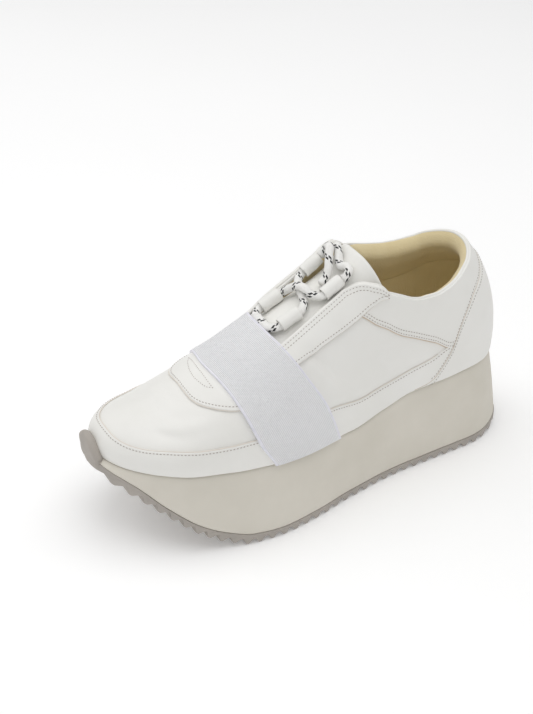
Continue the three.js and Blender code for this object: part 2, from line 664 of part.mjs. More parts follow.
// The two ends cross once more above the loops and tuck in on the other side of the tongue.
const LACE_END_LATERAL = [
  { offset: 11, y: 15.5, lift: 1.6 },
  { offset: 11.8, y: 18, lift: 1.8 },
  { offset: 10.6, y: 20.6, lift: 1.6 },
  { offset: 7.4, y: 20.8, lift: 0.8 },
  { offset: 4.0, y: 19.6, lift: 0.3 },
  { offset: 0.4, y: 20.4, lift: 0.2 },
  { offset: -3.6, y: 22.4, lift: 0.2 },
  { offset: -7.8, y: 24.6, lift: 0.2 },
  { offset: -12, y: 26.4, lift: 0.2 },
];
const LACE_END_MEDIAL = [
  { offset: -13, y: 15.5, lift: 5.8 },
  { offset: -13.0, y: 18.0, lift: 6.6 },
  { offset: -11.2, y: 20.0, lift: 7.4 },
  { offset: -8.2, y: 19.2, lift: 7.6 },
  { offset: -5.2, y: 17.0, lift: 7.0 },
  { offset: -2.2, y: 15.0, lift: 5.4 },
  { offset: 0.6, y: 13.0, lift: 3.0 },
  { offset: 2.6, y: 10.0, lift: 0.8 },
  { offset: 3.2, y: 6.0, lift: 0.2 },
];

function laceRoute(rows) {
  return new THREE.CatmullRomCurve3(rows.map(({ offset, y, lift }) => (
    new THREE.Vector3(foot.spine(y) + offset, y, restingHeight(y, offset, LACE_DIAMETER / 2) + lift)
  )), false, 'centripetal');
}

const CORD_SEGMENTS = 5;       // in half of its round
function cord(rows, steps) {
  const section = new THREE.Shape().absarc(0, 0, LACE_DIAMETER / 2, 0, 2 * Math.PI);
  return new THREE.ExtrudeGeometry(section, {
    extrudePath: laceRoute(rows), steps, curveSegments: CORD_SEGMENTS, bevelEnabled: false,
  });
}
add('lace_crossing', cord(LACE_CROSSING, 52), CORD);
add('lace_end_lateral', cord(LACE_END_LATERAL, 16), CORD);
add('lace_end_medial', cord(LACE_END_MEDIAL, 16), CORD);

export default shoe;
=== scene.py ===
import math
import bmesh
import bpy
import numpy as np
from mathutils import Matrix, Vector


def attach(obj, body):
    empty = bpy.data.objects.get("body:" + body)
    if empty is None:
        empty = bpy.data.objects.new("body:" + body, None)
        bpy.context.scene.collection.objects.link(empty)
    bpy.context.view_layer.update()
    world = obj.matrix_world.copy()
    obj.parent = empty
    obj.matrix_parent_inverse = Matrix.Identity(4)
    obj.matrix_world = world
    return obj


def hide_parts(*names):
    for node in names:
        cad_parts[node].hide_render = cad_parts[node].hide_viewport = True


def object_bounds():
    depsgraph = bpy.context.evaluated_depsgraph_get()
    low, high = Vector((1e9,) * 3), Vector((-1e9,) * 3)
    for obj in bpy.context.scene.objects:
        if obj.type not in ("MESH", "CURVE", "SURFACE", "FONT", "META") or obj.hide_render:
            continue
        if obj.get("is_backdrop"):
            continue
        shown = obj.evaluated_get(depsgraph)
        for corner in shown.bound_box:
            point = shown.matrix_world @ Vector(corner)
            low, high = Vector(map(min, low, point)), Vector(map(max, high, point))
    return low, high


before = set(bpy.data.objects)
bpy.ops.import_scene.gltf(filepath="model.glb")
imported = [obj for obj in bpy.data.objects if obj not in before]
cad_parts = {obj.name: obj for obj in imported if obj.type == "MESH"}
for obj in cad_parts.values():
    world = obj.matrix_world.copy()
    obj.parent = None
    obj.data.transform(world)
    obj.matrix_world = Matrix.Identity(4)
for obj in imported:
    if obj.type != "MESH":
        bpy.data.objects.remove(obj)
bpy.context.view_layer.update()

# ---- Outsole -------------------------------------------------------------------------------------
# A plate of grey rubber with ripple lugs running across it, cut to the sole's plan. It turns up under
# the toe, where a bumper of the same rubber is moulded on and laps over the front of the upper.

MM = 0.001
LATERAL, MEDIAL = 1, -1
TOE_TIP, HEEL_TIP = -135.5, 137.0
TOE_ROUND_FROM, HEEL_ROUND_FROM = -85.0, 96.0
TOE_ROUNDNESS, HEEL_ROUNDNESS = 2.2, 2.0
GAP = 0.3
RUBBER_EDGE = 0.5              # the rubber stands out this far from the foam
TOOTH_PITCH, TOOTH_DEPTH, TOOTH_LAND = 7.7, 3.4, 1.8
TOOTH_START = -59.01           # where one lug begins, on the flat of the tread
TREAD_STEP = 0.5               # the tread's profile has a point this often
TREAD_INSET = 0.5              # the lugs' faces stop this far short of the edge
LEAST_RUBBER = 0.4             # what is left over a valley where the plate is thin
SIDEWALL = ((0.06, 0.12), (0.14, 0), (0.5, 0), (0.86, 0), (0.95, 0.12), (1, 0.4))   # climb, inset
SOLE = {
    "y": [-135.5, -121, -107, -91, -76, -61, -46, -21, 9, 34, 54, 79, 104, 137],
    "axis": [-12.2, -10.7, -8.7, -6.2, -4.9, -3.7, -2.7, -2.2, -2.2, -3.2, -3.7, -4.4, -5.2, -5.2],
    "lateral": [41, 41.5, 43.2, 46.3, 49, 51.5, 51.7, 48.3, 41.5, 38.2, 37, 37, 37, 37],
    "medial": [33, 35.5, 38, 41.5, 44, 45.3, 44.6, 41, 37, 36, 36.2, 36.8, 37, 37],
    "tread": [46, 37, 25.5, 12.5, 4, 0, 0, 0, 0, 0, 0, 0, 0, 3.5],
    "plate": [54.2, 45.5, 32, 19, 11, 6.8, 5.6, 5.5, 5.5, 5.5, 5.5, 6, 6, 8],
    "feather": [55.5, 53.2, 51.6, 50, 48.8, 47.8, 46.4, 44.8, 44.8, 49.8, 55, 56.4, 58.5, 59],
    "flare": [4.5, 4.8, 5.2, 6.2, 7.2, 8, 8.5, 7.5, 6, 5, 4.2, 4, 4.5, 10],
}


def curve(table, column, along="y"):
    """A smooth curve through one column of a table, without overshoot."""
    x = np.array(table[along], float)
    v = np.array(table[column], float)
    slope = np.diff(v) / np.diff(x)
    product = slope[:-1] * slope[1:]
    total = np.where(product > 0, slope[:-1] + slope[1:], 1.0)
    tangent = np.concatenate([slope[:1], np.where(product > 0, 2 * product / total, 0), slope[-1:]])

    def at(where):
        a = np.clip(np.asarray(where, float), x[0], x[-1])
        i = np.clip(np.searchsorted(x, a, side="left") - 1, 0, len(x) - 2)
        h = x[i + 1] - x[i]
        t = (a - x[i]) / h
        u = 1 - t
        return (v[i] * u * u * (1 + 2 * t) + v[i + 1] * t * t * (3 - 2 * t)
                + h * t * u * (tangent[i] * u - tangent[i + 1] * t))

    return at


sole = {name: curve(SOLE, name) for name in SOLE if name != "y"}


def tips(level, inset=0.0):
    """y of the sole's two ends; level and inset are as in outline."""
    toe = TOE_TIP + level * sole["flare"](TOE_TIP) + inset
    heel = HEEL_TIP - level * sole["flare"](HEEL_TIP) - inset
    return float(toe), float(heel)


def outline(y, side, level, inset=0.0):
    """x of the sole's edge: level 0 is the edge of the tread, 1 the feather line, and inset goes in."""
    toe, heel = tips(level, inset)
    back = np.clip((y - HEEL_ROUND_FROM) / (heel - HEEL_ROUND_FROM), 0, 1)
    front = np.clip((TOE_ROUND_FROM - y) / (TOE_ROUND_FROM - toe), 0, 1)
    rounding = ((1 - back ** HEEL_ROUNDNESS) ** (1 / HEEL_ROUNDNESS)
                * (1 - front ** TOE_ROUNDNESS) ** (1 / TOE_ROUNDNESS))
    half = np.where(np.asarray(side) > 0, sole["lateral"](y), sole["medial"](y))
    return sole["axis"](y) + side * (half - level * sole["flare"](y) - inset) * rounding


def stations(level, inset, end_steps, middle_steps):
    """y values from heel to toe, close together round the two ends."""
    toe, heel = tips(level, inset)
    turn = np.arange(end_steps) / end_steps * math.pi / 2
    back = HEEL_ROUND_FROM + (heel - HEEL_ROUND_FROM) * np.cos(turn)
    middle = np.linspace(HEEL_ROUND_FROM, TOE_ROUND_FROM, middle_steps + 1)
    turn = np.arange(1, end_steps + 1) / end_steps * math.pi / 2
    front = TOE_ROUND_FROM + (toe - TOE_ROUND_FROM) * np.sin(turn)
    return np.concatenate([back, middle, front])


def points(x, y, z):
    return np.stack(np.broadcast_arrays(x, y, z), -1).astype(float)


def grid_mesh(name, rows, close_rows=False, close_columns=False, uv=None):
    """A mesh in metres from rows of points in millimetres; points that coincide are welded."""
    count, width = rows.shape[:2]
    index = np.arange(count * width).reshape(count, width)
    if close_rows:
        index = np.vstack([index, index[:1]])
    if close_columns:
        index = np.hstack([index, index[:, :1]])
    quads = np.stack([index[:-1, :-1], index[:-1, 1:], index[1:, 1:], index[1:, :-1]], -1)
    quads = quads.reshape(-1, 4)
    mesh = bpy.data.meshes.new(name)
    mesh.from_pydata((rows.reshape(-1, 3) * MM).tolist(), [], quads.tolist())
    if uv is not None:
        flat = uv.reshape(-1, 2)
        layer = mesh.uv_layers.new(name="UVMap")
        corners = np.empty(len(mesh.loops), int)
        mesh.loops.foreach_get("vertex_index", corners)
        layer.data.foreach_set("uv", flat[corners].ravel())
    work = bmesh.new()
    work.from_mesh(mesh)
    bmesh.ops.remove_doubles(work, verts=work.verts, dist=1e-6)
    bmesh.ops.dissolve_degenerate(work, edges=work.edges, dist=1e-7)
    bmesh.ops.recalc_face_normals(work, faces=work.faces)
    work.to_mesh(mesh)
    work.free()
    mesh.polygons.foreach_set("use_smooth", [True] * len(mesh.polygons))
    piece = bpy.data.objects.new(name, mesh)
    bpy.context.scene.collection.objects.link(piece)
    return piece


def fit(piece, look, slot, *nodes):
    """The piece gets its material, belongs to the shoe's one body and stands for the solids named."""
    piece.data.materials.append(look)
    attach(piece, "root")
    if nodes:
        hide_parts(*nodes)


def node(tree, kind, settings=None, inputs=None):
    """One shader or geometry node. Inputs go by name or place, each a value or another node's socket."""
    made = tree.nodes.new(kind)
    for key, value in (settings or {}).items():
        setattr(made, key, value)
    for key, value in (inputs or {}).items():
        if isinstance(value, bpy.types.NodeSocket):
            tree.links.new(value, made.inputs[key])
        else:
            made.inputs[key].default_value = value
    return made


def srgb(r, g, b):
    """A colour as seen on a screen, 0 to 255, in the shader's linear light."""
    def linear(c):
        c /= 255
        return c / 12.92 if c <= 0.04045 else ((c + 0.055) / 1.055) ** 2.4
    return (linear(r), linear(g), linear(b), 1.0)


def finish(name, **sockets):
    """A material, its tree, its shader and its Object coordinates."""
    material = bpy.data.materials.new(name)
    material.use_nodes = True
    tree = material.node_tree
    shader = tree.nodes["Principled BSDF"]
    for key, value in sockets.items():
        shader.inputs[key.replace("_", " ")].default_value = value
    place = node(tree, "ShaderNodeTexCoord").outputs["Object"]
    return material, tree, shader, place


def cloud(tree, place, scale, detail, **more):
    """A cloudy pattern from 0 to 1; scale is how many swells it has in a metre."""
    inputs = {"Vector": place, "Scale": scale, "Detail": detail, **more}
    return node(tree, "ShaderNodeTexNoise", None, inputs).outputs["Fac"]


def tint(tree, pattern, low_at, low, high_at, high):
    """Colours for a pattern: low up to one value, high from another, and a blend between."""
    ramp = node(tree, "ShaderNodeValToRGB", None, {"Fac": pattern})
    for stop, at, colour in zip(ramp.color_ramp.elements, (low_at, high_at), (low, high)):
        stop.position = at
        stop.color = colour
    return ramp.outputs["Color"]


def mottle(tree, place, scale, low, high, detail=3.0):
    """A colour that drifts between two values over the surface."""
    return tint(tree, cloud(tree, place, scale, detail, Roughness=0.55), 0.3, low, 0.7, high)


def dress(tree, shader, colour, *layers):
    """Gives a finish its colour and its relief, in layers of a pattern and its depth in metres."""
    tree.links.new(colour, shader.inputs["Base Color"])
    bump = None
    for pattern, depth in layers:
        under = {"Normal": bump.outputs["Normal"]} if bump else {}
        bump = node(tree, "ShaderNodeBump", None,
                    {"Height": pattern, "Distance": depth, "Strength": 1.0, **under})
    if bump:
        tree.links.new(bump.outputs["Normal"], shader.inputs["Normal"])


rubber, tree, shader, place = finish("grey_rubber", Roughness=0.62, IOR=1.5)
dress(tree, shader, mottle(tree, place, 60, srgb(166, 160, 153), srgb(178, 171, 163)),
      (cloud(tree, place, 220, 2.0), 0.0001), (cloud(tree, place, 2600, 2.0), 0.00006))

# the line of the tooth tips, from toe to heel, and how far along it each point lies
along = np.unique(np.concatenate([np.arange(TOE_TIP, HEEL_TIP, TREAD_STEP), stations(0, 0, 60, 2)]))
tread = sole["tread"](along)
travel = np.concatenate([[0], np.cumsum(np.hypot(np.diff(along), np.diff(tread)))])
phase = (travel - np.interp(TOOTH_START, along, travel)) % TOOTH_PITCH
valley = np.clip((phase - TOOTH_LAND) / (TOOTH_PITCH - TOOTH_LAND), 0, 1)
depth = TOOTH_DEPTH * np.sin(math.pi * valley)
steep = np.gradient(tread, along)
tooth_y = np.clip(along - depth * steep / np.hypot(1, steep), TOE_TIP, HEEL_TIP)
tooth_z = tread + depth / np.hypot(1, steep)
top_z = np.maximum(sole["plate"](along) - GAP, tooth_z + LEAST_RUBBER)
middle_x = sole["axis"](tooth_y)
spread = np.linspace(0, 1, 13)
ring = []
for side, parts in ((MEDIAL, spread[:0:-1]), (LATERAL, spread)):
    for part in parts:
        x = middle_x + (outline(tooth_y, side, 0, TREAD_INSET) - middle_x) * part
        ring.append(points(x, tooth_y, tooth_z))
for side, profile in ((LATERAL, SIDEWALL), (MEDIAL, SIDEWALL[::-1])):
    for climb, inset in profile:
        y = tooth_y + (along - tooth_y) * climb
        ring.append(points(outline(y, side, 0, inset), y, tooth_z + (top_z - tooth_z) * climb))
outsole = grid_mesh("outsole_plate", np.stack(ring, 1), close_columns=True)
fit(outsole, rubber, "outsole_rubber", "outsole")

# ---- Midsole -------------------------------------------------------------------------------------
# One moulded block of pale foam with a fine matt skin: a wedge, deep under the heel, that runs out to
# nothing at the toe. It is cemented between the rubber and the upper.

foam, tree, shader, place = finish("pale_foam", Roughness=0.7, IOR=1.4)
dress(tree, shader, mottle(tree, place, 28, srgb(216, 211, 199), srgb(224, 219, 208), 4.0),
      (cloud(tree, place, 45, 1.0), 0.0006), (cloud(tree, place, 3200, 2.0), 0.00005))

WALL = {                       # share of the way up, and how far the skin swells out there
    "climb": [0, 0.01, 0.05, 0.2, 0.5, 0.8, 0.94, 0.98, 1.0],
    "swell": [-0.25, 0.05, 0.2, 0.5, 0.8, 0.6, 0.2, -0.2, -1.2],
}
swelling = curve(WALL, "swell", "climb")
ENDS, MIDDLE = 40, 110         # steps round each end and along the middle
CLIMBS = (0, 0.005, 0.015, 0.05, 0.12, 0.25, 0.4, 0.55, 0.7, 0.82, 0.9, 0.95, 0.975, 0.99, 1)


def wall_ring(climb, side):
    """The foam's side at one height: climb is 0 on the rubber and 1 at the feather line."""
    inset = RUBBER_EDGE * (1 - climb) - float(swelling(climb))
    y = stations(climb, inset, ENDS, MIDDLE)
    low = sole["plate"](stations(0, RUBBER_EDGE, ENDS, MIDDLE))
    high = sole["feather"](stations(1, 0, ENDS, MIDDLE)) - GAP
    return points(outline(y, side, climb, inset), y, low + (high - low) * climb)


lateral = [wall_ring(climb, LATERAL) for climb in CLIMBS]
medial = [wall_ring(climb, MEDIAL) for climb in CLIMBS]
across = np.linspace(0, 1, 12)[1:-1]
ring = (lateral + [lateral[-1] + (medial[-1] - lateral[-1]) * part for part in across]
        + medial[::-1] + [medial[0] + (lateral[0] - medial[0]) * part for part in across])
midsole = grid_mesh("foam_midsole", np.stack(ring, 1), close_columns=True)
fit(midsole, foam, "midsole_foam", "midsole")

# ---- Upper ---------------------------------------------------------------------------------------
# Smooth white leather over thin padding, lasted as one hollow skin with a beige textile lining. It is
# open at the throat and the collar, and cemented to the midsole along the feather line.

UPPER_WALL = 2.0
TOE_FAN, TOE_FAN_FROM = 29.0, -61.0        # the ribs lean back at the toe
HEEL_FAN, HEEL_FAN_FROM = 50.0, 39.0       # and forward at the heel
COLLAR_FROM = 37.0
BULGE_PEAK = 2 / (3 * math.sqrt(3))        # the most that a sine times a squared cosine comes to
CORE = {"x": -5.0, "toe": -95.0, "heel": 85.0, "z": 62.0}    # a line along the inside of the foot
HALVINGS = 30                  # steps that a height is looked for in
LAST = {
    "y": [-132, -103, -91, -71, -51, -33, -11, 9, 17, 27, 37, 59, 87, 107, 127],
    "ridge": [76, 76, 79.5, 88.5, 98.5, 108.5, 119, 128, 132.5, 142, 151, 160, 160, 160, 160],
    "spine": [-10.2, -8.7, -7.7, -5.7, -4.2, -3.2, -2.7, -3.2, -3.7, -4.2, -4.7, -5.2, -5.2, -5.2, -5.2],
    "lateral": [1, 1, 1, 0.98, 0.94, 0.9, 0.86, 0.83, 0.8, 0.7, 0.62, 0.68, 1.05, 1.6, 2.1],
    "medial": [1, 1, 1, 0.98, 0.92, 0.84, 0.75, 0.7, 0.67, 0.63, 0.6, 0.68, 1.05, 1.6, 2.1],
    "bulge": [0.05, 0.05, 0.05, 0.05, 0.04, 0.04, 0.03, 0.02, 0.02, 0.02, 0.03, 0.05, 0.06, 0.05, 0.09],
}
THROAT = {
    "y": [-50, -41, -31, -11, 13, 19, 29, 37],
    "lateral": [0, 0.34, 0.44, 0.42, 0.40, 0.45, 0.65, 0.79],
    "medial": [0, 0.36, 0.50, 0.56, 0.56, 0.58, 0.66, 0.735],
    "lateral_facing": [0.64, 0.66, 0.67, 0.68, 0.70, 0.715, 0.76, 0.81],
    "medial_facing": [0.62, 0.66, 0.72, 0.78, 0.79, 0.80, 0.82, 0.83],
    "stand": [0, 0, 0, 4.5, 7, 7, 5, 0],
}
COLLAR = {
    "y": [37, 45, 53, 61, 69, 79, 91, 104, 127],
    "lateral": [124, 120.5, 117, 115.5, 115.5, 117.5, 121.5, 125.5, 130],
    "medial": [131, 128, 125, 122.7, 121, 120.2, 120.8, 124, 130],
}
foot = {name: curve(LAST, name) for name in LAST if name != "y"}
throat = {name: curve(THROAT, name) for name in THROAT if name != "y"}
collar = {name: curve(COLLAR, name) for name in COLLAR if name != "y"}


def unit(way):
    return way / np.maximum(np.linalg.norm(way, axis=-1, keepdims=True), 1e-9)


def from_core(at):
    """The way from the middle of the foot to points on the last."""
    return at - points(CORE["x"], np.clip(at[..., 1], CORE["toe"], CORE["heel"]), CORE["z"])


def arch(y, side):
    """How round a rib is: 1 is a quarter of an ellipse, less is fuller and more is flatter."""
    return np.where(np.asarray(side) > 0, foot["lateral"](y), foot["medial"](y))


# Where the leather gives as it is worn and lasted, by rib and by how far down from the ridge (a minus
# is the medial side): soft troughs, and ridges where deep is a minus. long and wide are half sizes in
# millimetres, and turn is the angle to the foot's length in degrees.
CREASES = {
    "y": [-99, -93, -104, -90, -100, -10, -8, 4, 18, 24, 38, 14, 62, 70, 96, 46, 20, 24, -6],
    "down": [0.22, 0.04, -0.25, 0.42, 0.48, 0.50, 0.60, 0.70, 0.66, 0.55, 0.74, 0.80, 0.62, 0.48, 0.55,
             0.88, -0.62, -0.78, -0.58],
    "turn": [60, 82, -55, 20, 30, 55, 48, 40, 12, 35, 20, 6, 70, 15, 80, 14, -12, -8, -50],
    "long": [17, 15, 16, 14, 12, 11, 12, 10, 30, 16, 17, 26, 12, 16, 16, 22, 26, 24, 11],
    "wide": [5.5, 4.5, 5.5, 4.5, 4.0, 2.6, 2.4, 2.4, 7.5, 4.5, 4.0, 4.0, 4.5, 5.0, 6.0, 4.5, 7, 4, 2.6],
    "deep": [1.04, 0.8, 0.96, -0.8, 0.8, 1.12, -0.88, 0.96, 1.6, -0.96, 0.96, -0.96, 0.8, -0.8, 0.8,
             0.8, 1.44, -0.8, 0.96],
}
GIRTH = 78.0                   # the length of a rib, for the creases' sizes


def give(y, around):
    """How far the leather sinks in at a place given by its rib and its way round from the ridge."""
    dent = 0
    for at, down, turn, long, wide, deep in zip(*CREASES.values()):
        angle = math.radians(turn)
        dy, da = y - at, around - down * GIRTH
        run = dy * math.cos(angle) + da * math.sin(angle)
        off = da * math.cos(angle) - dy * math.sin(angle)
        dent = dent + deep * np.exp(-(off / wide) ** 2 - (run / long) ** 4)
    return dent


def last(y, side, rise):
    """Points of the last: y names the rib by its foot, rise is 0 on the feather line, 1 on the ridge."""
    turn = np.asarray(rise) * math.pi / 2
    c = np.clip(np.cos(turn), 0, 1)
    toward = 1 - c ** arch(y, side) - foot["bulge"](y) * np.sin(turn) * c ** 2 / BULGE_PEAK
    toe, heel = tips(1)
    toe_lean = np.clip((TOE_FAN_FROM - y) / (TOE_FAN_FROM - toe), 0, None)
    heel_lean = np.clip((y - HEEL_FAN_FROM) / (heel - HEEL_FAN_FROM), 0, None)
    spine_y = y + TOE_FAN * toe_lean ** 2 - HEEL_FAN * heel_lean ** 2
    foot_x = outline(y, side, 1)
    x = foot_x + (foot["spine"](spine_y) - foot_x) * toward
    py = y + (spine_y - y) * toward
    floor = sole["feather"](y)
    at = points(x, py, floor + (foot["ridge"](py) - floor) * np.sin(turn))
    dent = give(np.asarray(y, float), np.asarray(side) * (1 - np.asarray(rise)) * GIRTH)
    return at - unit(from_core(at)) * np.broadcast_to(dent, at.shape[:-1])[..., None]


def rise_at_width(y, side, part):
    """How far up its rib the last comes in to a part of its half width."""
    return np.arccos(np.clip(part, 0, 1) ** (1 / arch(y, side))) / (math.pi / 2)


def rise_at_height(y, side, height):
    """How far up its rib the last reaches a height."""
    low, high = np.zeros(y.shape), np.ones(y.shape)
    for _ in range(HALVINGS):
        middle = (low + high) / 2
        short = last(y, side, middle)[..., 2] < height
        low, high = np.where(short, middle, low), np.where(short, high, middle)
    return low


def opening_rise(y, side):
    """How far up its rib the leather goes, to the throat's edge or to the collar's."""
    y, side = np.broadcast_arrays(np.asarray(y, float), side)
    part = np.where(side > 0, throat["lateral"](y), throat["medial"](y))
    height = np.where(side > 0, collar["lateral"](y), collar["medial"](y))
    return np.where(y < COLLAR_FROM, rise_at_width(y, side, part), rise_at_height(y, side, height))


STAND_WAY, STAND_POWER = np.array([-0.35, 0, 0.94]), 1.4


def skin(y, side, rise):
    """The upper's outside: the last, with the medial edge of the throat turned up off it."""
    y, side, rise = np.broadcast_arrays(np.asarray(y, float), side, rise)
    begin = rise_at_width(y, side, throat["medial_facing"](y))
    end = rise_at_width(y, side, throat["medial"](y))
    part = np.clip((rise - begin) / np.maximum(end - begin, 1e-6), 0, 1)
    up = np.where((side < 0) & (y <= COLLAR_FROM), throat["stand"](y) * part ** STAND_POWER, 0)
    return last(y, side, rise) + STAND_WAY * up[..., None]


def outward(rows, close_rows=False):
    """Unit normals of rows of points that lie on the last, away from the foot."""
    if close_rows:
        rows = np.concatenate([rows[-1:], rows, rows[:1]])
    normal = unit(np.cross(np.gradient(rows, axis=0), np.gradient(rows, axis=1)))
    if close_rows:
        rows, normal = rows[1:-1], normal[1:-1]
    flip = np.sum(normal * from_core(rows), -1).mean() < 0
    return -normal if flip else normal


def leather(name, light, shade):
    """Finished leather: fine pebble grain, soft sheen and slightly uneven colour."""
    material, tree, shader, place = finish(name, IOR=1.45, Specular_IOR_Level=0.45)
    pebbles = node(tree, "ShaderNodeTexVoronoi", {"feature": "SMOOTH_F1"},
                   {"Vector": place, "Scale": 1500, "Smoothness": 0.6})
    wrinkle = cloud(tree, place, 130, 5.0, Roughness=0.6)
    dull = node(tree, "ShaderNodeMapRange", None,
                {"Value": wrinkle, "From Min": 0.3, "From Max": 0.7, "To Min": 0.36, "To Max": 0.5})
    tree.links.new(dull.outputs["Result"], shader.inputs["Roughness"])
    dress(tree, shader, mottle(tree, place, 22, shade, light, 4.0), (cloud(tree, place, 26, 1.0), 0.0009),
          (wrinkle, 0.00012), (pebbles.outputs["Distance"], 0.00003))
    return material


white_leather = leather("white_leather", srgb(243, 242, 238), srgb(238, 237, 232))
raw_edge = leather("cut_leather_edge", srgb(214, 199, 182), srgb(203, 186, 168))
# A warm tint: the lips' own colour on the mudguard, apron and rand, and painted shade along the facings'
# outer edges.
folded_edge_and_shade = leather("folded_edge_and_shade", srgb(236, 230, 222), srgb(229, 221, 211))

lining, tree, shader, place = finish("beige_lining", Roughness=0.9, Sheen_Weight=0.25,
                                     Sheen_Roughness=0.5)
weave = node(tree, "ShaderNodeTexVoronoi", None, {"Vector": place, "Scale": 1100})
dress(tree, shader, mottle(tree, place, 30, srgb(226, 209, 164), srgb(238, 223, 182), 4.0),
      (weave.outputs["Distance"], 0.00012), (cloud(tree, place, 1700, 3.0), 0.00015))

TUCK = (-1.0, -0.4, -0.1)      # the leather turns in under the foot over its first three rows
RIM = ((0.75, 0.45), (1.0, 1.0), (0.75, 1.55))     # its rounded top edge: up the rib, and inwards

ys = stations(1, 0, 44, 150)
ring_y = np.concatenate([ys, ys[-2:0:-1]])
ring_side = np.concatenate([np.full(len(ys), LATERAL), np.full(len(ys) - 2, MEDIAL)])
top_rise = opening_rise(ring_y, ring_side)
rise = np.concatenate([[0, 0.012, 0.03], np.linspace(0.06, 1, 42)])
base = skin(ring_y[:, None], ring_side[:, None], rise[None, :] * top_rise[:, None])
normal = outward(base, close_rows=True)
tuck = np.zeros(len(rise))
tuck[:len(TUCK)] = TUCK
skin_out = base + normal * tuck[None, :, None]
skin_in = base - normal * UPPER_WALL
up = unit(base[:, -1] - base[:, -2])
rim = [base[:, -1] + up * over - normal[:, -1] * inwards for over, inwards in RIM]
section = np.concatenate([skin_out, np.stack(rim, 1), skin_in[:, ::-1]], 1)
upper = grid_mesh("leather_upper", section, close_rows=True, close_columns=True)
fit(upper, white_leather, "upper_leather", "upper")
upper.data.materials.append(lining)
lined = {tuple(np.round(p, 1)) for p in skin_in[:, :-1].reshape(-1, 3)}
for face in upper.data.polygons:
    corners = [tuple(np.round(np.array(upper.data.vertices[v].co) / MM, 1)) for v in face.vertices]
    if all(corner in lined for corner in corners):
        face.material_index = 1

# The panels are cut from the same leather, lie on the skin 0.9 mm proud and are lockstitched near
# their edges: a mudguard round the toe, a rand behind the band, an apron tab, collar and counter.

EDGE_STEPS = np.array([0, 0.1, 0.25, 0.5, 0.85, 1.3])
PANEL = 0.9                    # how far a panel stands proud
SUNK, UNDER = -0.35, -0.45     # its edge turns down to the first, its underside to the second
STITCH_IN = 1.6                # the stitches lie this far in from the edge
THREAD_UP = 0.02               # and this far over the leather


def edged(length, step):
    """Shares of a length in millimetres: fine steps at both ends, even ones between."""
    fine = EDGE_STEPS / length
    middle = np.linspace(fine[-1], 1 - fine[-1], max(3, int(length / step)))
    return np.concatenate([fine[:-1], middle, 1 - fine[:-1][::-1]])


def border_distance(rows):
    """Distance in millimetres from each point of a sheet to its nearest border."""
    def run(a):
        step = np.linalg.norm(np.diff(a, axis=0), axis=-1)
        gone = np.concatenate([np.zeros((1, step.shape[1])), np.cumsum(step, 0)])
        return np.minimum(gone, gone[-1] - gone)
    return np.minimum(run(rows), run(rows.swapaxes(0, 1)).swapaxes(0, 1))


def rounded(distance, radius):
    """From 0 on an edge to 1 a radius in from it, as a quarter circle goes."""
    return np.sqrt(1 - (1 - np.clip(distance / radius, 0, 1)) ** 2)


def pressed(rows, threads, depth=0.28, width=0.8):
    """How far tight stitches pull the sheet in, at each of its points."""
    pull = np.zeros(rows.shape[:2])
    flat = rows.reshape(-1, 3)
    for thread in threads:
        gap = np.full(len(flat), 1e9)
        for piece in np.array_split(thread, max(1, len(thread) // 40)):
            gap = np.minimum(gap, np.linalg.norm(flat[:, None] - piece[None], axis=-1).min(1))
        pull = np.maximum(pull, depth * np.exp(-(gap / width) ** 2).reshape(pull.shape))
    return pull


def cut_sheet(name, rows, top, bottom, edge, radius=0.8, threads=(), uv=None, normal=None):
    """A closed piece of sheet on the last. Its faces lie top and bottom millimetres off the rows and
    meet in a rounded border at the edge's height."""
    if normal is None:
        normal = outward(rows)
    swell = rounded(border_distance(rows), radius)
    height = top - (pressed(rows, threads) if len(threads) else 0)
    outer = rows + normal * (edge + (height - edge) * swell)[..., None]
    inner = rows + normal * (edge + (bottom - edge) * swell)[..., None]
    both = np.concatenate([outer, inner[:, ::-1]], 1)
    if uv is not None:
        uv = np.concatenate([uv, uv[:, ::-1]], 1)
    return grid_mesh(name, both, close_columns=True, uv=uv)


def lower(y, side, rise, distance):
    """The rise that lies a distance in millimetres further down the same rib."""
    step = np.linalg.norm(last(y, side, rise) - last(y, side, np.asarray(rise) - 0.01), axis=-1)
    return rise - 0.01 * distance / np.maximum(step, 1e-3)


def lifted(y, side, rise, height):
    """Points a height off the last."""
    here = last(y, side, rise)
    normal = unit(np.cross(last(y + 0.2, side, rise) - last(y - 0.2, side, rise),
                           last(y, side, rise + 0.004) - last(y, side, rise - 0.004)))
    normal *= np.sign(np.sum(normal * from_core(here), -1, keepdims=True))
    return here + normal * height


def over_ridge(y, down, height):
    """The same, with down 0 on the ridge, 1 on the lateral feather line and -1 on the medial one."""
    down = np.asarray(down, float)
    return lifted(np.asarray(y, float), np.where(down >= 0, LATERAL, MEDIAL), 1 - np.abs(down), height)


def reckon(tree, operation, *values):
    """One sum on numbers or patterns."""
    return node(tree, "ShaderNodeMath", {"operation": operation}, dict(enumerate(values))).outputs[0]


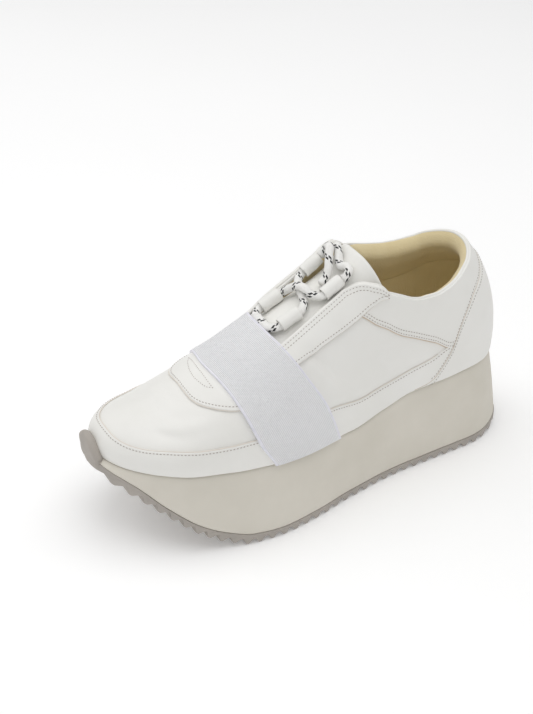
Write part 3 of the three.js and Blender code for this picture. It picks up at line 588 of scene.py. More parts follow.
def stitch_tree():
    """Geometry nodes: a row of short threads, dipping at both ends, along every edge of a mesh."""
    tree = bpy.data.node_groups.new("lockstitch", "GeometryNodeTree")
    sockets = {}
    for name, kind in (("Line", "Geometry"), ("Pitch", "Float"), ("Thread", "Float"),
                       ("Thickness", "Float"), ("Colour", "Material")):
        made = tree.interface.new_socket(name, in_out="INPUT", socket_type="NodeSocket" + kind)
        sockets[name] = made.identifier
    tree.interface.new_socket("Stitches", in_out="OUTPUT", socket_type="NodeSocketGeometry")
    given = node(tree, "NodeGroupInput").outputs
    line = node(tree, "GeometryNodeMeshToCurve", None, {"Mesh": given["Line"]})
    beads = node(tree, "GeometryNodeResampleCurve", {"mode": "LENGTH"},
                 {"Curve": line.outputs["Curve"], "Length": given["Pitch"]})
    tangent = node(tree, "GeometryNodeInputTangent")
    turn = node(tree, "FunctionNodeAlignRotationToVector", {"axis": "X"},
                {"Vector": tangent.outputs["Tangent"]})
    size = node(tree, "ShaderNodeCombineXYZ", None,
                {"X": reckon(tree, "MULTIPLY", given["Thread"], 0.5),
                 "Y": given["Thickness"], "Z": given["Thickness"]})
    bead = node(tree, "GeometryNodeMeshUVSphere", None, {"Segments": 6, "Rings": 4, "Radius": 1.0})
    many = node(tree, "GeometryNodeInstanceOnPoints", None,
                {"Points": beads.outputs["Curve"], "Instance": bead.outputs["Mesh"],
                 "Rotation": turn.outputs["Rotation"], "Scale": size.outputs["Vector"]})
    real = node(tree, "GeometryNodeRealizeInstances", None, {"Geometry": many.outputs["Instances"]})
    soft = node(tree, "GeometryNodeSetShadeSmooth", None, {"Geometry": real.outputs["Geometry"]})
    dyed = node(tree, "GeometryNodeSetMaterial", None,
                {"Geometry": soft.outputs["Geometry"], "Material": given["Colour"]})
    node(tree, "NodeGroupOutput", None, {"Stitches": dyed.outputs["Geometry"]})
    return tree, sockets


lockstitch, lockstitch_sockets = stitch_tree()


def sew(name, lines, thread, slot="upper_leather", pitch=1.9, length=1.35, thickness=0.24):
    """Stitches along lines of points in millimetres, as one plain mesh."""
    vertices, edges = [], []
    for line in lines:
        start = len(vertices)
        vertices += (line * MM).tolist()
        edges += [(start + i, start + i + 1) for i in range(len(line) - 1)]
    mesh = bpy.data.meshes.new(name + "_line")
    mesh.from_pydata(vertices, edges, [])
    guide = bpy.data.objects.new(name + "_line", mesh)
    bpy.context.scene.collection.objects.link(guide)
    sewing = guide.modifiers.new("sewing", "NODES")
    sewing.node_group = lockstitch
    for key, value in (("Pitch", pitch * MM), ("Thread", length * MM), ("Thickness", thickness * MM),
                       ("Colour", thread)):
        sewing[lockstitch_sockets[key]] = value
    ready = guide.evaluated_get(bpy.context.evaluated_depsgraph_get())
    piece = bpy.data.objects.new(name, bpy.data.meshes.new_from_object(ready))
    bpy.data.objects.remove(guide)
    piece.data.materials.clear()
    bpy.context.scene.collection.objects.link(piece)
    fit(piece, thread, slot)


# The thread is white; its grey is painted shade from the needle holes and the gaps between the stitches.
stitch_thread_and_hole_shade, tree, shader, place = finish("stitch_thread_and_hole_shade", Roughness=0.75)
dress(tree, shader, mottle(tree, place, 400, srgb(170, 161, 154), srgb(190, 182, 175)),
      (cloud(tree, place, 5000, 1.0), 0.00006))

MUDGUARD = {
    "y": [-131, -130, -128, -121, -114, -104, -94, -84, -73, -62, -54, -36],
    "lateral": [0.475, 0.46, 0.43, 0.385, 0.37, 0.37, 0.34, 0.30, 0.27, 0.255, 0.24, 0.23],
    "medial": [0.475, 0.47, 0.465, 0.45, 0.44, 0.42, 0.39, 0.35, 0.31, 0.29, 0.27, 0.26],
}
RAND = {
    "y": [-16, -5, 8, 22, 37, 50, 65, 76, 84],
    "top": [0.205, 0.19, 0.16, 0.133, 0.11, 0.10, 0.113, 0.14, 0.15],
}
COUNTER = {
    "y": [50, 56, 64, 68.6, 72.6, 77, 80.7, 85, 91.6, 100.6, 112.6, 125, 127],
    "top": [0.002, 0.004, 0.008, 0.02, 0.05, 0.09, 0.13, 0.20, 0.27, 0.33, 0.37, 0.41, 0.415],
}
COLLAR_SEAM = {
    "y": [14, 20.1, 27.6, 36.1, 46.6, 56.6, 67.6, 80.6, 85, 91.6, 100.6, 112.6, 127],
    "low": [0.63, 0.54, 0.43, 0.35, 0.27, 0.22, 0.18, 0.13, 0.165, 0.235, 0.30, 0.34, 0.385],
}
APRON = {
    "down": [0, 0.05, 0.19, 0.28, 0.37, 0.44, 0.49, 0.53],
    "front": [-83.6, -83.4, -82.2, -79.6, -73.9, -67.4, -60.9, -50],
}
APRON_REAR, APRON_PROUD, COUNTER_PROUD = -48, PANEL + 0.3, 1.5
CRESCENT = {
    "y": [-66.6, -69.0, -71.2, -72.9, -73.3, -72.4, -70.6, -67.9],
    "down": [-0.25, -0.19, -0.11, -0.02, 0.05, 0.13, 0.20, 0.235],
}
CHORD = {"y": [-66.6, -67.6, -68.4, -68.4, -67.9], "down": [-0.25, -0.12, 0.02, 0.14, 0.235]}


def side_and_end(begin, corner, tip, steps, turn_steps):
    """Rib feet along a side of the shoe and round the toe or the heel, up to its tip."""
    turn = np.linspace(0.02, math.pi / 2, turn_steps)
    return np.concatenate([np.linspace(begin, corner, steps), corner + (tip - corner) * np.sin(turn)])


def both_sides(way):
    """The same rib feet on the lateral side, then back on the medial one."""
    return (np.concatenate([way, way[-2::-1]]),
            np.concatenate([np.full(len(way), LATERAL), np.full(len(way) - 1, MEDIAL)]))


def panel(name, rows, threads, proud=PANEL, radius=0.8):
    """A leather panel on the last, pulled in along its stitches."""
    fit(cut_sheet(name, rows, proud, UNDER, SUNK, radius, threads), white_leather, "upper_leather")


def seam(y, side, rise, inwards, proud=PANEL):
    """A row of stitches that runs some way down the ribs from a panel's upper edge."""
    return lifted(y, side, lower(y, side, rise, inwards), proud + THREAD_UP)


def smooth_line(table, height):
    """A line on the last through a short table of y and down."""
    y, down = np.array(table["y"], float), np.array(table["down"], float)
    way = np.concatenate([[0], np.cumsum(np.hypot(np.diff(y), 45 * np.diff(down)))])
    named = {"way": way, "y": y, "down": down}
    at = np.linspace(0, way[-1], 60)
    return over_ridge(curve(named, "y", "way")(at), curve(named, "down", "way")(at), height)


mud_lateral, mud_medial = curve(MUDGUARD, "lateral"), curve(MUDGUARD, "medial")


def mud_top(y, side):
    return np.where(side > 0, mud_lateral(y), mud_medial(y))


toe, heel = tips(1)
mud_y, mud_side = both_sides(side_and_end(MUDGUARD["y"][-1], TOE_ROUND_FROM, toe, 60, 60))
mud_rise = mud_top(mud_y, mud_side)
rows = last(mud_y[:, None], mud_side[:, None], mud_rise[:, None] * edged(24, 1.0)[None, :])
mud_thread = seam(mud_y, mud_side, mud_rise, STITCH_IN)[3:-3]
panel("mudguard", rows, [mud_thread])

rand_top = curve(RAND, "top")
y = np.linspace(-16, 83, 110)
rand_threads = []
for side, name in ((LATERAL, "rand_lateral"), (MEDIAL, "rand_medial")):
    rows = last(y[:, None], side, rand_top(y)[:, None] * edged(14, 0.9)[None, :])
    line = seam(y, side, rand_top(y), STITCH_IN)
    panel(name, rows, [line])
    rand_threads.append(line[:-6])

seam_low = curve(COLLAR_SEAM, "low")
y, side = both_sides(side_and_end(COLLAR_SEAM["y"][0], HEEL_ROUND_FROM, heel, 90, 44))
low, high = seam_low(y), opening_rise(y, side)
rows = skin(y[:, None], side[:, None], low[:, None] + (high - low)[:, None] * edged(30, 1.0)[None, :])
collar_threads = []
for which in (LATERAL, MEDIAL):
    here = (y < 81) & (side == which)
    collar_threads += [seam(y[here], which, low[here], -up) for up in (1.6, 4.0)]
panel("collar_panel", rows, collar_threads, PANEL, 0.9)

counter_top = curve(COUNTER, "top")
y, side = both_sides(side_and_end(COUNTER["y"][0], HEEL_ROUND_FROM, heel, 92, 44))
rows = last(y[:, None], side[:, None], counter_top(y)[:, None] * edged(40, 1.0)[None, :])
counter_threads = [seam(y, side, counter_top(y), inwards, proud)[34:-34]
                   for inwards, proud in ((2.0, COUNTER_PROUD), (-1.8, PANEL))]
panel("heel_counter", rows, counter_threads[:1], COUNTER_PROUD, 1.1)
counter_line = lifted(y, side, counter_top(y), 0.55)[10:-10]

down = np.linspace(APRON["down"][-1], -APRON["down"][-1], 110)
front = curve(APRON, "front", "down")(np.abs(down))
rows = over_ridge(front[:, None] + (APRON_REAR - front)[:, None] * edged(34, 0.9)[None, :],
                  down[:, None], 0)
apron_thread = over_ridge(front + STITCH_IN, down * 0.955, APRON_PROUD + THREAD_UP)
moon = [smooth_line(table, PANEL + THREAD_UP) for table in (CRESCENT, CHORD)]
panel("apron_tab", rows, [apron_thread] + moon, APRON_PROUD, 1.0)
sew("panel_stitches", [mud_thread, apron_thread] + rand_threads + collar_threads + counter_threads,
    stitch_thread_and_hole_shade)
sew("crescent_stitches", [line + outward(rows).mean((0, 1)) * 0.28 for line in moon], stitch_thread_and_hole_shade,
    pitch=1.6, length=1.1, thickness=0.2)


def tube(line, radius, sides, uv=False, caps=True):
    """Rows of points round a line in millimetres, with both ends closed by caps. For a uv map, the
    last point of a row is at the place of the first."""
    tangent = unit(np.gradient(line, axis=0))
    frame_x = np.empty_like(line)
    frame_x[0] = unit(np.cross(tangent[0], [0, 0, 1.0]))
    for i in range(1, len(line)):
        frame_x[i] = unit(frame_x[i - 1] - tangent[i] * np.dot(frame_x[i - 1], tangent[i]))
    frame_y = np.cross(tangent, frame_x)
    turn = np.linspace(0, 2 * math.pi, sides, endpoint=uv)[None, :, None]
    reach = np.broadcast_to(radius, len(line))[:, None, None]
    rows = line[:, None] + (frame_x[:, None] * np.cos(turn) + frame_y[:, None] * np.sin(turn)) * reach
    if caps:
        rows = np.concatenate([np.repeat(line[:1, None], rows.shape[1], 1), rows,
                               np.repeat(line[-1:, None], rows.shape[1], 1)])
    return rows


def piping(name, line, radius, look, slot="upper_leather"):
    """A thin line along a panel's edge: the cut or folded edge itself, and along the facings painted
    shade.
    """
    fit(grid_mesh(name, tube(line, radius, 8), close_columns=True), look, slot)


EDGE_UP = 0.42                 # the middle of a panel's edge stands this far off the last

piping("counter_edge", counter_line, 0.42, raw_edge)
piping("mudguard_edge", lifted(mud_y, mud_side, mud_rise, EDGE_UP), 0.3, folded_edge_and_shade)
piping("apron_edge", over_ridge(front, down, 0.6), 0.3, folded_edge_and_shade)
for side, name in ((LATERAL, "lateral"), (MEDIAL, "medial")):
    y = np.linspace(-15, 70, 100)
    piping("rand_edge_" + name, lifted(y, side, rand_top(y), EDGE_UP), 0.26, folded_edge_and_shade)
    y = np.linspace(15, 78, 80)
    piping("collar_edge_" + name, lifted(y, side, seam_low(y), EDGE_UP), 0.36, raw_edge)

# ---- Toe bumper ----------------------------------------------------------------------------------
# The outsole's rubber carries on over the toe as a thick tab with soft edges, cemented to the leather.

BUMPER_THICKNESS, BUMPER_HALF_WIDTH, BUMPER_OFF, BUMPER_ROUND = 5.4, 12.0, 0.4, 2.4
BUMPER_TOP, BUMPER_DROP, BUMPER_DROP_POWER = 63.5, 9.0, 2.5
BUMPER_FOOT, FOOT_SHARE = 49.0, 0.412      # it reaches down to the first, over this share of its rows

sweep = 1 - 2 * edged(2 * BUMPER_HALF_WIDTH, 0.6)
half = np.where(sweep > 0, sole["lateral"](toe), sole["medial"](toe)) - sole["flare"](toe)
part = np.clip(np.abs(sweep) * BUMPER_HALF_WIDTH / half, 0, 1) ** TOE_ROUNDNESS
y = TOE_ROUND_FROM + (toe - TOE_ROUND_FROM) * (1 - part) ** (1 / TOE_ROUNDNESS)
side = np.where(sweep >= 0, LATERAL, MEDIAL)
top = rise_at_height(y, side, BUMPER_TOP - BUMPER_DROP * np.abs(sweep) ** BUMPER_DROP_POWER)
climb = edged(14, 0.6)[None, :]
above = np.clip((climb - FOOT_SHARE) / (1 - FOOT_SHARE), 0, 1)
rows = last(y[:, None], side[:, None], above * top[:, None])
foot_z = BUMPER_FOOT + (rows[:, :1, 2] - BUMPER_FOOT) * climb / FOOT_SHARE
rows[..., 2] = np.where(climb < FOOT_SHARE, foot_z, rows[..., 2])
toe_bumper = cut_sheet("toe_bumper", rows, BUMPER_OFF + BUMPER_THICKNESS, BUMPER_OFF,
                       BUMPER_OFF + BUMPER_THICKNESS / 2, BUMPER_ROUND)
fit(toe_bumper, rubber, "outsole_rubber")

# ---- Insole --------------------------------------------------------------------------------------
# A padded sock liner in the same beige textile, laid loose on the bottom of the shoe.

INSOLE_THICKNESS, INSOLE_INSET = 4.0, UPPER_WALL + 1.2
INSOLE_ROUND, INSOLE_CUP = 1.6, 0.9        # its edge is rounded, and its middle is worn this much

y = stations(1, INSOLE_INSET, 40, 110)
spread = edged(60, 2.0)
left, right = outline(y, MEDIAL, 1, INSOLE_INSET), outline(y, LATERAL, 1, INSOLE_INSET)
rows = points(left[:, None] + (right - left)[:, None] * spread[None, :], y[:, None],
              sole["feather"](y)[:, None])
swell = rounded(border_distance(rows), INSOLE_ROUND)
hollow = INSOLE_CUP * (1 - np.abs(spread[None, :] * 2 - 1) ** 3)
middle = GAP + INSOLE_THICKNESS / 2
over, beneath = rows.copy(), rows.copy()
over[..., 2] += middle + (INSOLE_THICKNESS / 2 - hollow) * swell
beneath[..., 2] += middle - INSOLE_THICKNESS / 2 * swell
insole = grid_mesh("sock_liner", np.concatenate([over, beneath[:, ::-1]], 1), close_columns=True)
fit(insole, lining, "insole_fabric", "insole")

# ---- Collar lining -------------------------------------------------------------------------------
# The beige textile is turned over a strip of foam inside the collar and sewn under the leather's edge.

ROLL = {"down": [0, 0.6, 1.5, 3, 6, 12, 20, 26], "in": [1.2, 3.5, 5.4, 7.2, 8.4, 7.8, 4.8, 2.3]}
ROLL_FROM, ROLL_TAPER = 38, 12             # it starts here, and is full this much further back
ROLL_THIN, ROLL_BACK = 2.1, 1.5            # how far in its face is where it starts, and its back
ROLL_CREST, CREST_DEPTH = 0.9, 2.2         # its top stands up this much, over this depth

y, side = both_sides(side_and_end(ROLL_FROM, HEEL_ROUND_FROM, heel, 80, 40))
depth = np.concatenate([[0, 0.3, 0.6, 1.0, 1.5, 2.2, 3], np.linspace(4, ROLL["down"][-1], 20)])
rise = lower(y[:, None], side[:, None], opening_rise(y, side)[:, None], depth[None, :])
rows = last(y[:, None], side[:, None], rise)
normal = outward(rows)
full = np.clip((y - ROLL_FROM) / ROLL_TAPER, 0, 1)[:, None]
full = full * full * (3 - 2 * full)
puff = ROLL_THIN + (curve(ROLL, "in", "down")(depth)[None, :] - ROLL_THIN) * full
face = rows - normal * puff[..., None]
face[..., 2] += ROLL_CREST * np.clip(1 - depth / CREST_DEPTH, 0, 1)[None, :] * full
back = rows - normal * ROLL_BACK
collar_roll = grid_mesh("collar_roll", np.concatenate([face, back[:, ::-1]], 1), close_columns=True)
fit(collar_roll, lining, "insole_fabric")

# ---- Tongue --------------------------------------------------------------------------------------
# A padded sheet of the same white leather under the throat, with an arched free end.

TONGUE_WALL, TONGUE_UNDER = 2.6, UPPER_WALL + 3 * GAP
TONGUE_FRONT, TONGUE_TOP, TONGUE_SIDE_TOP = -55.0, 28.0, 38.0
TONGUE_REACH, TONGUE_NARROW_FROM, TONGUE_NARROW, TONGUE_NARROW_POWER = 0.8, 7.0, 0.12, 1.5
TONGUE_CROWN, TONGUE_ROUND = 0.25, 1.6     # its face swells a little, and its edge is rounded

sweep = (1 - 2 * edged(70, 1.0))[:, None]
end = TONGUE_TOP + (TONGUE_SIDE_TOP - TONGUE_TOP) * sweep ** 2
y = TONGUE_FRONT + (end - TONGUE_FRONT) * edged(90, 1.0)[None, :]
side = np.where(sweep >= 0, LATERAL, MEDIAL)
rise = 1 - (1 - rise_at_width(y, side, TONGUE_REACH)) * np.abs(sweep)
rows = last(y, side, rise)
normal = outward(rows)
free = np.clip((rows[..., 1] - TONGUE_NARROW_FROM) / (TONGUE_SIDE_TOP - TONGUE_NARROW_FROM), 0, None)
spine = foot["spine"](rows[..., 1])
rows[..., 0] = spine + (rows[..., 0] - spine) * (1 - TONGUE_NARROW * free ** TONGUE_NARROW_POWER)
tongue = cut_sheet("padded_tongue", rows, TONGUE_CROWN - TONGUE_UNDER, -TONGUE_UNDER - TONGUE_WALL,
                   -TONGUE_UNDER - TONGUE_WALL / 2, TONGUE_ROUND, normal=normal)
fit(tongue, white_leather, "tongue_leather", "tongue")

# ---- Elastic band --------------------------------------------------------------------------------
# One wide strip of pale grey woven elastic over the instep, ribbed along its length, with a firm
# selvedge on both edges. It is stretched flat on the upper and caught under it at the feather line.

BAND = {
    "part": [0, 0.14, 0.3, 0.55, 0.8, 1],
    "front": [-67.5, -65.3, -63, -59.5, -54.5, -45.5],
    "rear": [-32, -30.8, -27.5, -20, -8.5, 0],
}
BAND_LOW, BAND_HIGH, BAND_ROUND = 0.3, 2.6, 0.7
CREST = 0.12                   # its edges bend round over the instep within this part of each side
RIB_PITCH, PICK_PITCH = 0.92, 0.55
SELVEDGE, GROOVE_DEPTH, GROOVE_WIDTH = 1.3, 0.3, 0.35    # a groove runs along each selvedge
DRAWN, DRAWN_OVER = 0.25, 8    # the pull of the stretch lifts the edges a little

elastic, tree, shader, place = finish("ribbed_elastic", Roughness=0.82, Sheen_Weight=0.3,
                                      Sheen_Roughness=0.4)
uv = node(tree, "ShaderNodeUVMap").outputs["UV"]
split = node(tree, "ShaderNodeSeparateXYZ", None, {"Vector": uv})
ribs = reckon(tree, "SINE", reckon(tree, "MULTIPLY", split.outputs["X"], 2 * math.pi / RIB_PITCH))
picks = reckon(tree, "SINE", reckon(tree, "MULTIPLY", split.outputs["Y"], 2 * math.pi / PICK_PITCH))
long_way = node(tree, "ShaderNodeVectorMath", {"operation": "MULTIPLY"}, {0: uv, 1: (2.6, 0.5, 1)})
slub = cloud(tree, long_way.outputs["Vector"], 1.0, 4.0, Roughness=0.7)
shade = node(tree, "ShaderNodeMapRange", None,
             {"Value": ribs, "From Min": -1.0, "From Max": 1.0, "To Min": 0.1, "To Max": 0.8})
blend = node(tree, "ShaderNodeMix", {"data_type": "FLOAT"},
             {"Factor": 0.22, "A": shade.outputs["Result"], "B": slub})
colour = tint(tree, blend.outputs["Result"], 0.25, srgb(233, 233, 236), 0.7, srgb(249, 249, 250))
dress(tree, shader, colour, (slub, 0.00018), (picks, 0.00004), (ribs, 0.00009))

selvedge_yarn, tree, shader, place = finish("selvedge_yarn", Roughness=0.7, Sheen_Weight=0.3)
dress(tree, shader, mottle(tree, place, 300, srgb(230, 229, 238), srgb(240, 239, 246)),
      (cloud(tree, place, 2200, 2.0), 0.00012))

band_front, band_rear = curve(BAND, "front", "part"), curve(BAND, "rear", "part")
sweep = 1 - 2 * edged(170, 1.0)
share = edged(37, 0.6)
part = np.minimum(np.hypot(sweep, CREST), 1)
front, rear = band_front(part), band_rear(part)
rows = over_ridge(front[:, None] + (rear - front)[:, None] * share[None, :], sweep[:, None], 0)
steps = np.linalg.norm(np.diff(rows, axis=0), axis=-1).mean(1)
run_mm = np.concatenate([[0], np.cumsum(steps)])
run_way = unit(np.gradient(rows[:, len(share) // 2], axis=0))
square = rows[:, -1] - rows[:, 0]
square -= run_way * np.sum(square * run_way, -1, keepdims=True)
BAND_WIDTH = float(np.linalg.norm(square, axis=-1).mean())
across_mm = np.broadcast_to(share * BAND_WIDTH, rows.shape[:2])
along_mm = np.broadcast_to(run_mm[:, None], rows.shape[:2])
from_edge = np.minimum(across_mm, BAND_WIDTH - across_mm)
groove = GROOVE_DEPTH * np.exp(-((from_edge - SELVEDGE) / GROOVE_WIDTH) ** 2)
drawn = DRAWN * np.clip(1 - from_edge / DRAWN_OVER, 0, 1)
band = cut_sheet("elastic_strap", rows, BAND_HIGH - groove + drawn, BAND_LOW, (BAND_LOW + BAND_HIGH) / 2,
                 BAND_ROUND, uv=np.stack([across_mm, along_mm], -1))
fit(band, elastic, "elastic_webbing", "elastic_band")
band.data.materials.append(selvedge_yarn)
spots = np.empty(2 * len(band.data.loops))
band.data.uv_layers[0].data.foreach_get("uv", spots)
woven = np.minimum(spots[::2], BAND_WIDTH - spots[::2]) > share[len(EDGE_STEPS) - 1] * BAND_WIDTH + 0.001
for face in band.data.polygons:
    corners = woven[face.loop_start:face.loop_start + face.loop_total]
    face.material_index = 0 if corners.any() else 1

# ---- Facings -------------------------------------------------------------------------------------
# A strip of leather along each side of the throat, folded over at the throat's edge, with two rows of
# stitches along the fold and one along the outer edge.

FACING_LOW, FACING_HIGH, FACING_ROUND = 0.5, 2.4, 0.95
FACING_TOP = {"lateral": 36.6, "medial": 31.5}
UNDER_BAND = 2.0               # a facing starts this far under the band
FOLD_UP, FOLD_WIDTH = 0.35, 0.9            # the folded edge stands up this much, over this width
FOLD_ROWS, OUTER_ROW = (1.9, 4.0), 2.0     # stitches, this far from the fold and the outer edge


def facing_rise(y, side, name, across):
    """The rise on a facing: across is 0 at the throat's edge and 1 at the facing's outer edge."""
    part = throat[name](y) * (1 - across) + throat[name + "_facing"](y) * across
    return rise_at_width(y, side, part)


def line_at(distance, measured, rows):
    """The line through rows of points where what is measured across them comes to one distance."""
    line = []
    for j in range(3, rows.shape[1] - 4):
        order = np.argsort(measured[:, j])
        line.append([np.interp(distance, measured[order, j], rows[order, j, k]) for k in range(3)])
    return np.array(line)


share = edged(13, 0.6)[:, None]
spread = edged(66, 1.0)[None, :]
facing_threads = []
for side, name in ((LATERAL, "lateral"), (MEDIAL, "medial")):
    begin = band_rear(1 - facing_rise(BAND["rear"][0], side, name, share)) - UNDER_BAND
    y = begin + (FACING_TOP[name] - begin) * spread
    rows = skin(y, side, facing_rise(y, side, name, share))[::side]
    normal = outward(rows)
    steps = np.linalg.norm(np.diff(rows, axis=0), axis=-1)
    across_mm = np.concatenate([np.zeros((1, rows.shape[1])), np.cumsum(steps, 0)])
    from_fold = across_mm if side == LATERAL else across_mm[-1:] - across_mm
    from_outer = across_mm[-1:] - from_fold
    face = rows + normal * (FACING_HIGH + THREAD_UP)
    threads = [line_at(distance, from_fold, face) for distance in FOLD_ROWS]
    threads.append(line_at(OUTER_ROW, from_outer, face))
    fold = FOLD_UP * np.exp(-((from_fold - FOLD_WIDTH) / FOLD_WIDTH) ** 2)
    facing = cut_sheet("facing_strip_" + name, rows, FACING_HIGH + fold, FACING_LOW,
                       (FACING_LOW + FACING_HIGH) / 2, FACING_ROUND, threads)
    fit(facing, white_leather, "trim_leather", "facing_" + name)
    outer = -1 if side == LATERAL else 0
    # A thin darker line along each facing's outer edge: painted shade under the edge.
    piping("facing_edge_shade_" + name, rows[outer, 2:-2] + normal[outer, 2:-2], 0.32, folded_edge_and_shade,
           "trim_leather")
    facing_threads += threads
sew("facing_stitches", facing_threads, stitch_thread_and_hole_shade, "trim_leather")

# ---- Lace loops ----------------------------------------------------------------------------------
# Four short tubes of rolled leather on the tongue, two to a side, that the lace runs through.

LACE_DIAMETER, LOOP_WALL = 5.0, 1.0
LOOP_RADIUS = LACE_DIAMETER / 2 + 2 * GAP + LOOP_WALL
LOOPS = {
    "name": ["lower_lateral", "lower_medial", "upper_lateral", "upper_medial"],
    "offset": [11, -11, 11, -13],
    "front": [-24, -24, 3.5, 4.5],
    "front_lift": [0, 0.4, 0, 3.2],
    "back": [-12, -12, 15, 15],
    "back_lift": [0, 0.4, 0, 4.2],
}
LOOP_ROUND, LOOP_RIPPLE = 0.6, 0.12        # its ends are rounded, and its face is a little uneven
LOOP_OUTSIDE, LOOP_INSIDE = 0.15, 0.1      # the leather stays this far inside the loop's wall


def resting_height(y, offset, radius):
    """Height of a thread that lies on the tongue, offset millimetres from the throat's middle."""
    side = np.where(np.asarray(offset) >= 0, LATERAL, MEDIAL)
    reach = np.abs(outline(y, side, 1) - foot["spine"](y))

    def at(where):
        return last(where, side, rise_at_width(where, side, np.abs(offset) / reach))[..., 2]

    slope = (at(y + 1) - at(y - 1)) / 2
    return at(y) + (radius + GAP - TONGUE_UNDER) * np.hypot(1, slope)


def on_tongue(y, offset, lift, radius):
    """Points of a thread that lies on the tongue, or is lifted off it."""
    y, offset = np.asarray(y, float), np.asarray(offset, float)
    return points(foot["spine"](y) + offset, y, resting_height(y, offset, radius) + lift)


for i, name in enumerate(LOOPS["name"]):
    start, stop = (on_tongue(LOOPS[end][i], LOOPS["offset"][i], LOOPS[end + "_lift"][i], LOOP_RADIUS)
                   for end in ("front", "back"))
    reach = np.linalg.norm(stop - start)
    share = edged(reach, 1.0)
    line = start + (stop - start) * share[:, None]
    bow = rounded(np.minimum(share, 1 - share) * reach, LOOP_ROUND)
    ripple = LOOP_RIPPLE * np.sin(share * 9 + i)
    middle = LOOP_RADIUS - LOOP_WALL / 2
    outside = tube(line, middle + bow * (LOOP_WALL / 2 - LOOP_OUTSIDE + ripple), 40, caps=False)
    inside = tube(line, middle - bow * (LOOP_WALL / 2 - LOOP_INSIDE), 40, caps=False)
    loop = grid_mesh("loop_" + name, np.concatenate([outside, inside[::-1]]), close_rows=True,
                     close_columns=True)
    fit(loop, white_leather, "trim_leather", "lace_loop_" + name)

# ---- Lace ----------------------------------------------------------------------------------------
# One round braided cord, white with pairs of short dark flecks. It starts in the upper lateral loop,
# crosses, runs along the band and crosses back; its ends cross once more and tuck in on the tongue.

CROSSING = {
    "offset": [11, 11, 11, 8.2, 3.5, -1.5, -6.8, -11, -11, -11, -8, -3, 3, 8, 11, 11, 11, 7.4, 1.5,
               -4.5, -10, -13, -13, -13],
    "y": [14.6, 9, 2.4, -2.2, -4.6, -5.8, -7.2, -11, -18, -25, -28.6, -29.4, -29.4, -28.6, -25, -18,
          -11, -6.8, -4.6, -3.2, -0.6, 3.4, 9, 14.4],
    "lift": [1.6, 1.6, 1.6, 3.2, 5.8, 5.6, 3, 2, 2, 2, 1.2, 0.8, 0.8, 1.2, 1.6, 1.6, 1.6, 0.4, 0,
             0.4, 2.6, 4.6, 5.3, 5.8],
}
END_LATERAL = {
    "offset": [11, 11.8, 10.6, 7.4, 4.0, 0.4, -3.6, -7.8, -12],
    "y": [15.5, 18, 20.6, 20.8, 19.6, 20.4, 22.4, 24.6, 26.4],
    "lift": [1.6, 1.8, 1.6, 0.8, 0.3, 0.2, 0.2, 0.2, 0.2],
}
END_MEDIAL = {
    "offset": [-13, -13, -11.2, -8.2, -5.2, -2.2, 0.6, 2.6, 3.2],
    "y": [15.5, 18, 20, 19.2, 17, 15, 13, 10, 6],
    "lift": [5.8, 6.6, 7.4, 7.6, 7.0, 5.4, 3.0, 0.8, 0.2],
}

FLECK_PITCH, FLECKS_ROUND = 11.0, 5.0      # flecks wind round it, so long a turn, so many in it
FLECK_ROWS = ((0.20, 0.0), (0.35, 0.35))   # where in the pitch each of two rows is, and its shift
FLECK_LONG, FLECK_WIDE = 0.115, 0.62       # parts of the pitch, and of a fleck's share of the turn
STRANDS, STRAND_PITCH = 11.0, 1.5
LACE_STEP, LACE_SIDES, LACE_THIN = 0.7, 25, 0.1
LACE_END, LACE_BLUNT = 1.2, 0.25           # its ends are rounded off, and a little blunt

cord, tree, shader, place = finish("flecked_cord", Roughness=0.8, Sheen_Weight=0.2)
uv = node(tree, "ShaderNodeUVMap").outputs["UV"]
split = node(tree, "ShaderNodeSeparateXYZ", None, {"Vector": uv})
round_it, along_it = split.outputs["X"], split.outputs["Y"]
wound = reckon(tree, "ADD", reckon(tree, "DIVIDE", along_it, FLECK_PITCH), round_it)
wound = reckon(tree, "FRACT", wound)
spots_round = reckon(tree, "MULTIPLY", round_it, FLECKS_ROUND)
flecks = 0.0
for begin, shift in FLECK_ROWS:
    row = reckon(tree, "MULTIPLY", reckon(tree, "GREATER_THAN", wound, begin),
                 reckon(tree, "LESS_THAN", wound, begin + FLECK_LONG))
    dash = reckon(tree, "FRACT", reckon(tree, "ADD", spots_round, shift))
    marks = reckon(tree, "MULTIPLY", row, reckon(tree, "LESS_THAN", dash, FLECK_WIDE))
    flecks = reckon(tree, "MAXIMUM", flecks, marks)
strands_round = reckon(tree, "MULTIPLY", round_it, STRANDS)
strands_along = reckon(tree, "DIVIDE", along_it, STRAND_PITCH)
both_ways = []
for way in ("ADD", "SUBTRACT"):
    turns = reckon(tree, "MULTIPLY", reckon(tree, way, strands_round, strands_along), 2 * math.pi)
    both_ways.append(reckon(tree, "SINE", turns))
white = mottle(tree, place, 500, srgb(246, 245, 241), srgb(254, 253, 250))
dyed = node(tree, "ShaderNodeMix", {"data_type": "RGBA"},
            {"Factor": flecks, "A": white, "B": srgb(22, 22, 27)})
dress(tree, shader, next(out for out in dyed.outputs if out.type == "RGBA"),
      (cloud(tree, place, 2500, 3.0), 0.0001), (reckon(tree, "MULTIPLY", *both_ways), 0.0001))


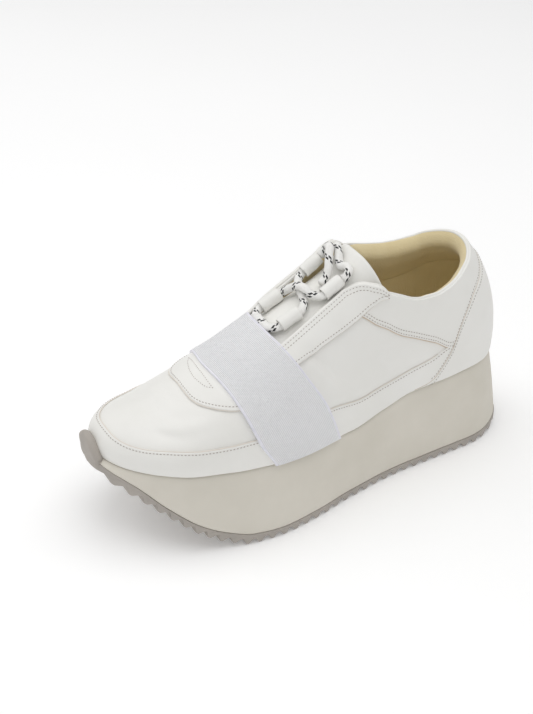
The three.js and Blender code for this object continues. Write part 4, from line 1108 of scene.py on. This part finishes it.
def run(table):
    """The smooth line of the lace through its rows, in even steps, and how far along each point is."""
    p = on_tongue(table["y"], table["offset"], np.array(table["lift"], float), LACE_DIAMETER / 2)
    p = np.concatenate([2 * p[:1] - p[1:2], p, 2 * p[-1:] - p[-2:-1]])
    line = []
    for a, b, c, d in zip(p[:-3], p[1:-2], p[2:-1], p[3:]):
        t1 = np.linalg.norm(b - a) ** 0.5
        t2 = t1 + np.linalg.norm(c - b) ** 0.5
        t3 = t2 + np.linalg.norm(d - c) ** 0.5
        t = np.linspace(t1, t2, 12, endpoint=False)[:, None]
        ab = a + (b - a) * t / t1
        bc = b + (c - b) * (t - t1) / (t2 - t1)
        cd = c + (d - c) * (t - t2) / (t3 - t2)
        abc = ab + (bc - ab) * t / t2
        bcd = bc + (cd - bc) * (t - t1) / (t3 - t1)
        line.append(abc + (bcd - abc) * (t - t1) / (t2 - t1))
    line = np.concatenate(line + [p[-2:-1]])
    gone = np.concatenate([[0], np.cumsum(np.linalg.norm(np.diff(line, axis=0), axis=-1))])
    even = np.linspace(0, gone[-1], int(gone[-1] / LACE_STEP) + 1)
    return np.stack([np.interp(even, gone, line[:, k]) for k in range(3)], -1), even


def braid_cord(name, table):
    """A stretch of the lace, with its line and its length."""
    line, gone = run(table)
    from_end = np.minimum(gone, gone[-1] - gone)
    radius = (LACE_DIAMETER / 2 - LACE_THIN) * rounded(from_end + LACE_BLUNT, LACE_END)
    turn = np.linspace(0, 1, LACE_SIDES)
    capped = np.concatenate([gone[:1], gone, gone[-1:]])
    uv = np.stack(np.broadcast_arrays(turn[None, :], capped[:, None]), -1)
    return grid_mesh(name, tube(line, radius, LACE_SIDES, uv=True), uv=uv), line, float(gone[-1])


crossing, line, length = braid_cord("lace", CROSSING)
fit(crossing, cord, "lace_cord", "lace_crossing")
print("lace between the loops", round(length, 1), "mm")
for name, table in (("lateral", END_LATERAL), ("medial", END_MEDIAL)):
    end, line, length = braid_cord("lace_tail_" + name, table)
    fit(end, cord, "lace_cord", "lace_end_" + name)
    print("lace tail", name, round(length, 1), "mm")

# ---- Studio --------------------------------------------------------------------------------------
# A plain pale floor and soft white light from large panels.

CAMERA_AT = (0.5239, -0.3149, 0.4898)
AZIMUTH, ELEVATION, LENS = 61.3, 33.9, 64.13
LIGHTS = {                     # place, size and power of each soft panel
    "overhead": ((0.1, 0.1, 1.6), 1.6, 12.0),
    "window": ((-0.9, -0.9, 1.1), 1.2, 5.5),
    "front": ((1.3, -0.6, 0.9), 1.0, 1.0),
}
AIM_AT = (0.0, 0.0, 0.06)      # the middle of the shoe

camera = bpy.data.objects.new("camera", bpy.data.cameras.new("camera"))
camera.data.sensor_width = 36.0
camera.data.lens = LENS
camera.location = CAMERA_AT
camera.rotation_euler = (math.radians(90 - ELEVATION), 0, math.radians(AZIMUTH))
camera.data.clip_start, camera.data.clip_end = 0.01, 20
bpy.context.scene.collection.objects.link(camera)
bpy.context.scene.camera = camera

bpy.ops.mesh.primitive_plane_add(size=8)
floor = bpy.context.object
floor.name = "floor"
paper, tree, shader, place = finish("white_paper", Roughness=0.9, Emission_Strength=0.13)
shader.inputs["Emission Color"].default_value = (1.0, 1.0, 1.0, 1.0)
dress(tree, shader, mottle(tree, place, 3, srgb(250, 250, 250), srgb(252, 252, 252)))
floor.data.materials.append(paper)
floor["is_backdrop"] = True

world = bpy.data.worlds.new("studio")
world.use_nodes = True
bpy.context.scene.world = world
world.node_tree.nodes["Background"].inputs["Color"].default_value = (1.0, 1.0, 1.0, 1.0)
world.node_tree.nodes["Background"].inputs["Strength"].default_value = 0.44
for name, (at, size, power) in LIGHTS.items():
    lamp = bpy.data.lights.new(name, "AREA")
    lamp.size, lamp.energy = size, power
    panel_light = bpy.data.objects.new(name, lamp)
    panel_light.location = at
    aim = np.array(AIM_AT) - np.array(at)
    panel_light.rotation_euler = (math.acos(-aim[2] / np.linalg.norm(aim)), 0,
                                  math.atan2(aim[1], aim[0]) - math.pi / 2)
    bpy.context.scene.collection.objects.link(panel_light)
bpy.context.scene.view_settings.view_transform = "Standard"

low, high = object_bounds()
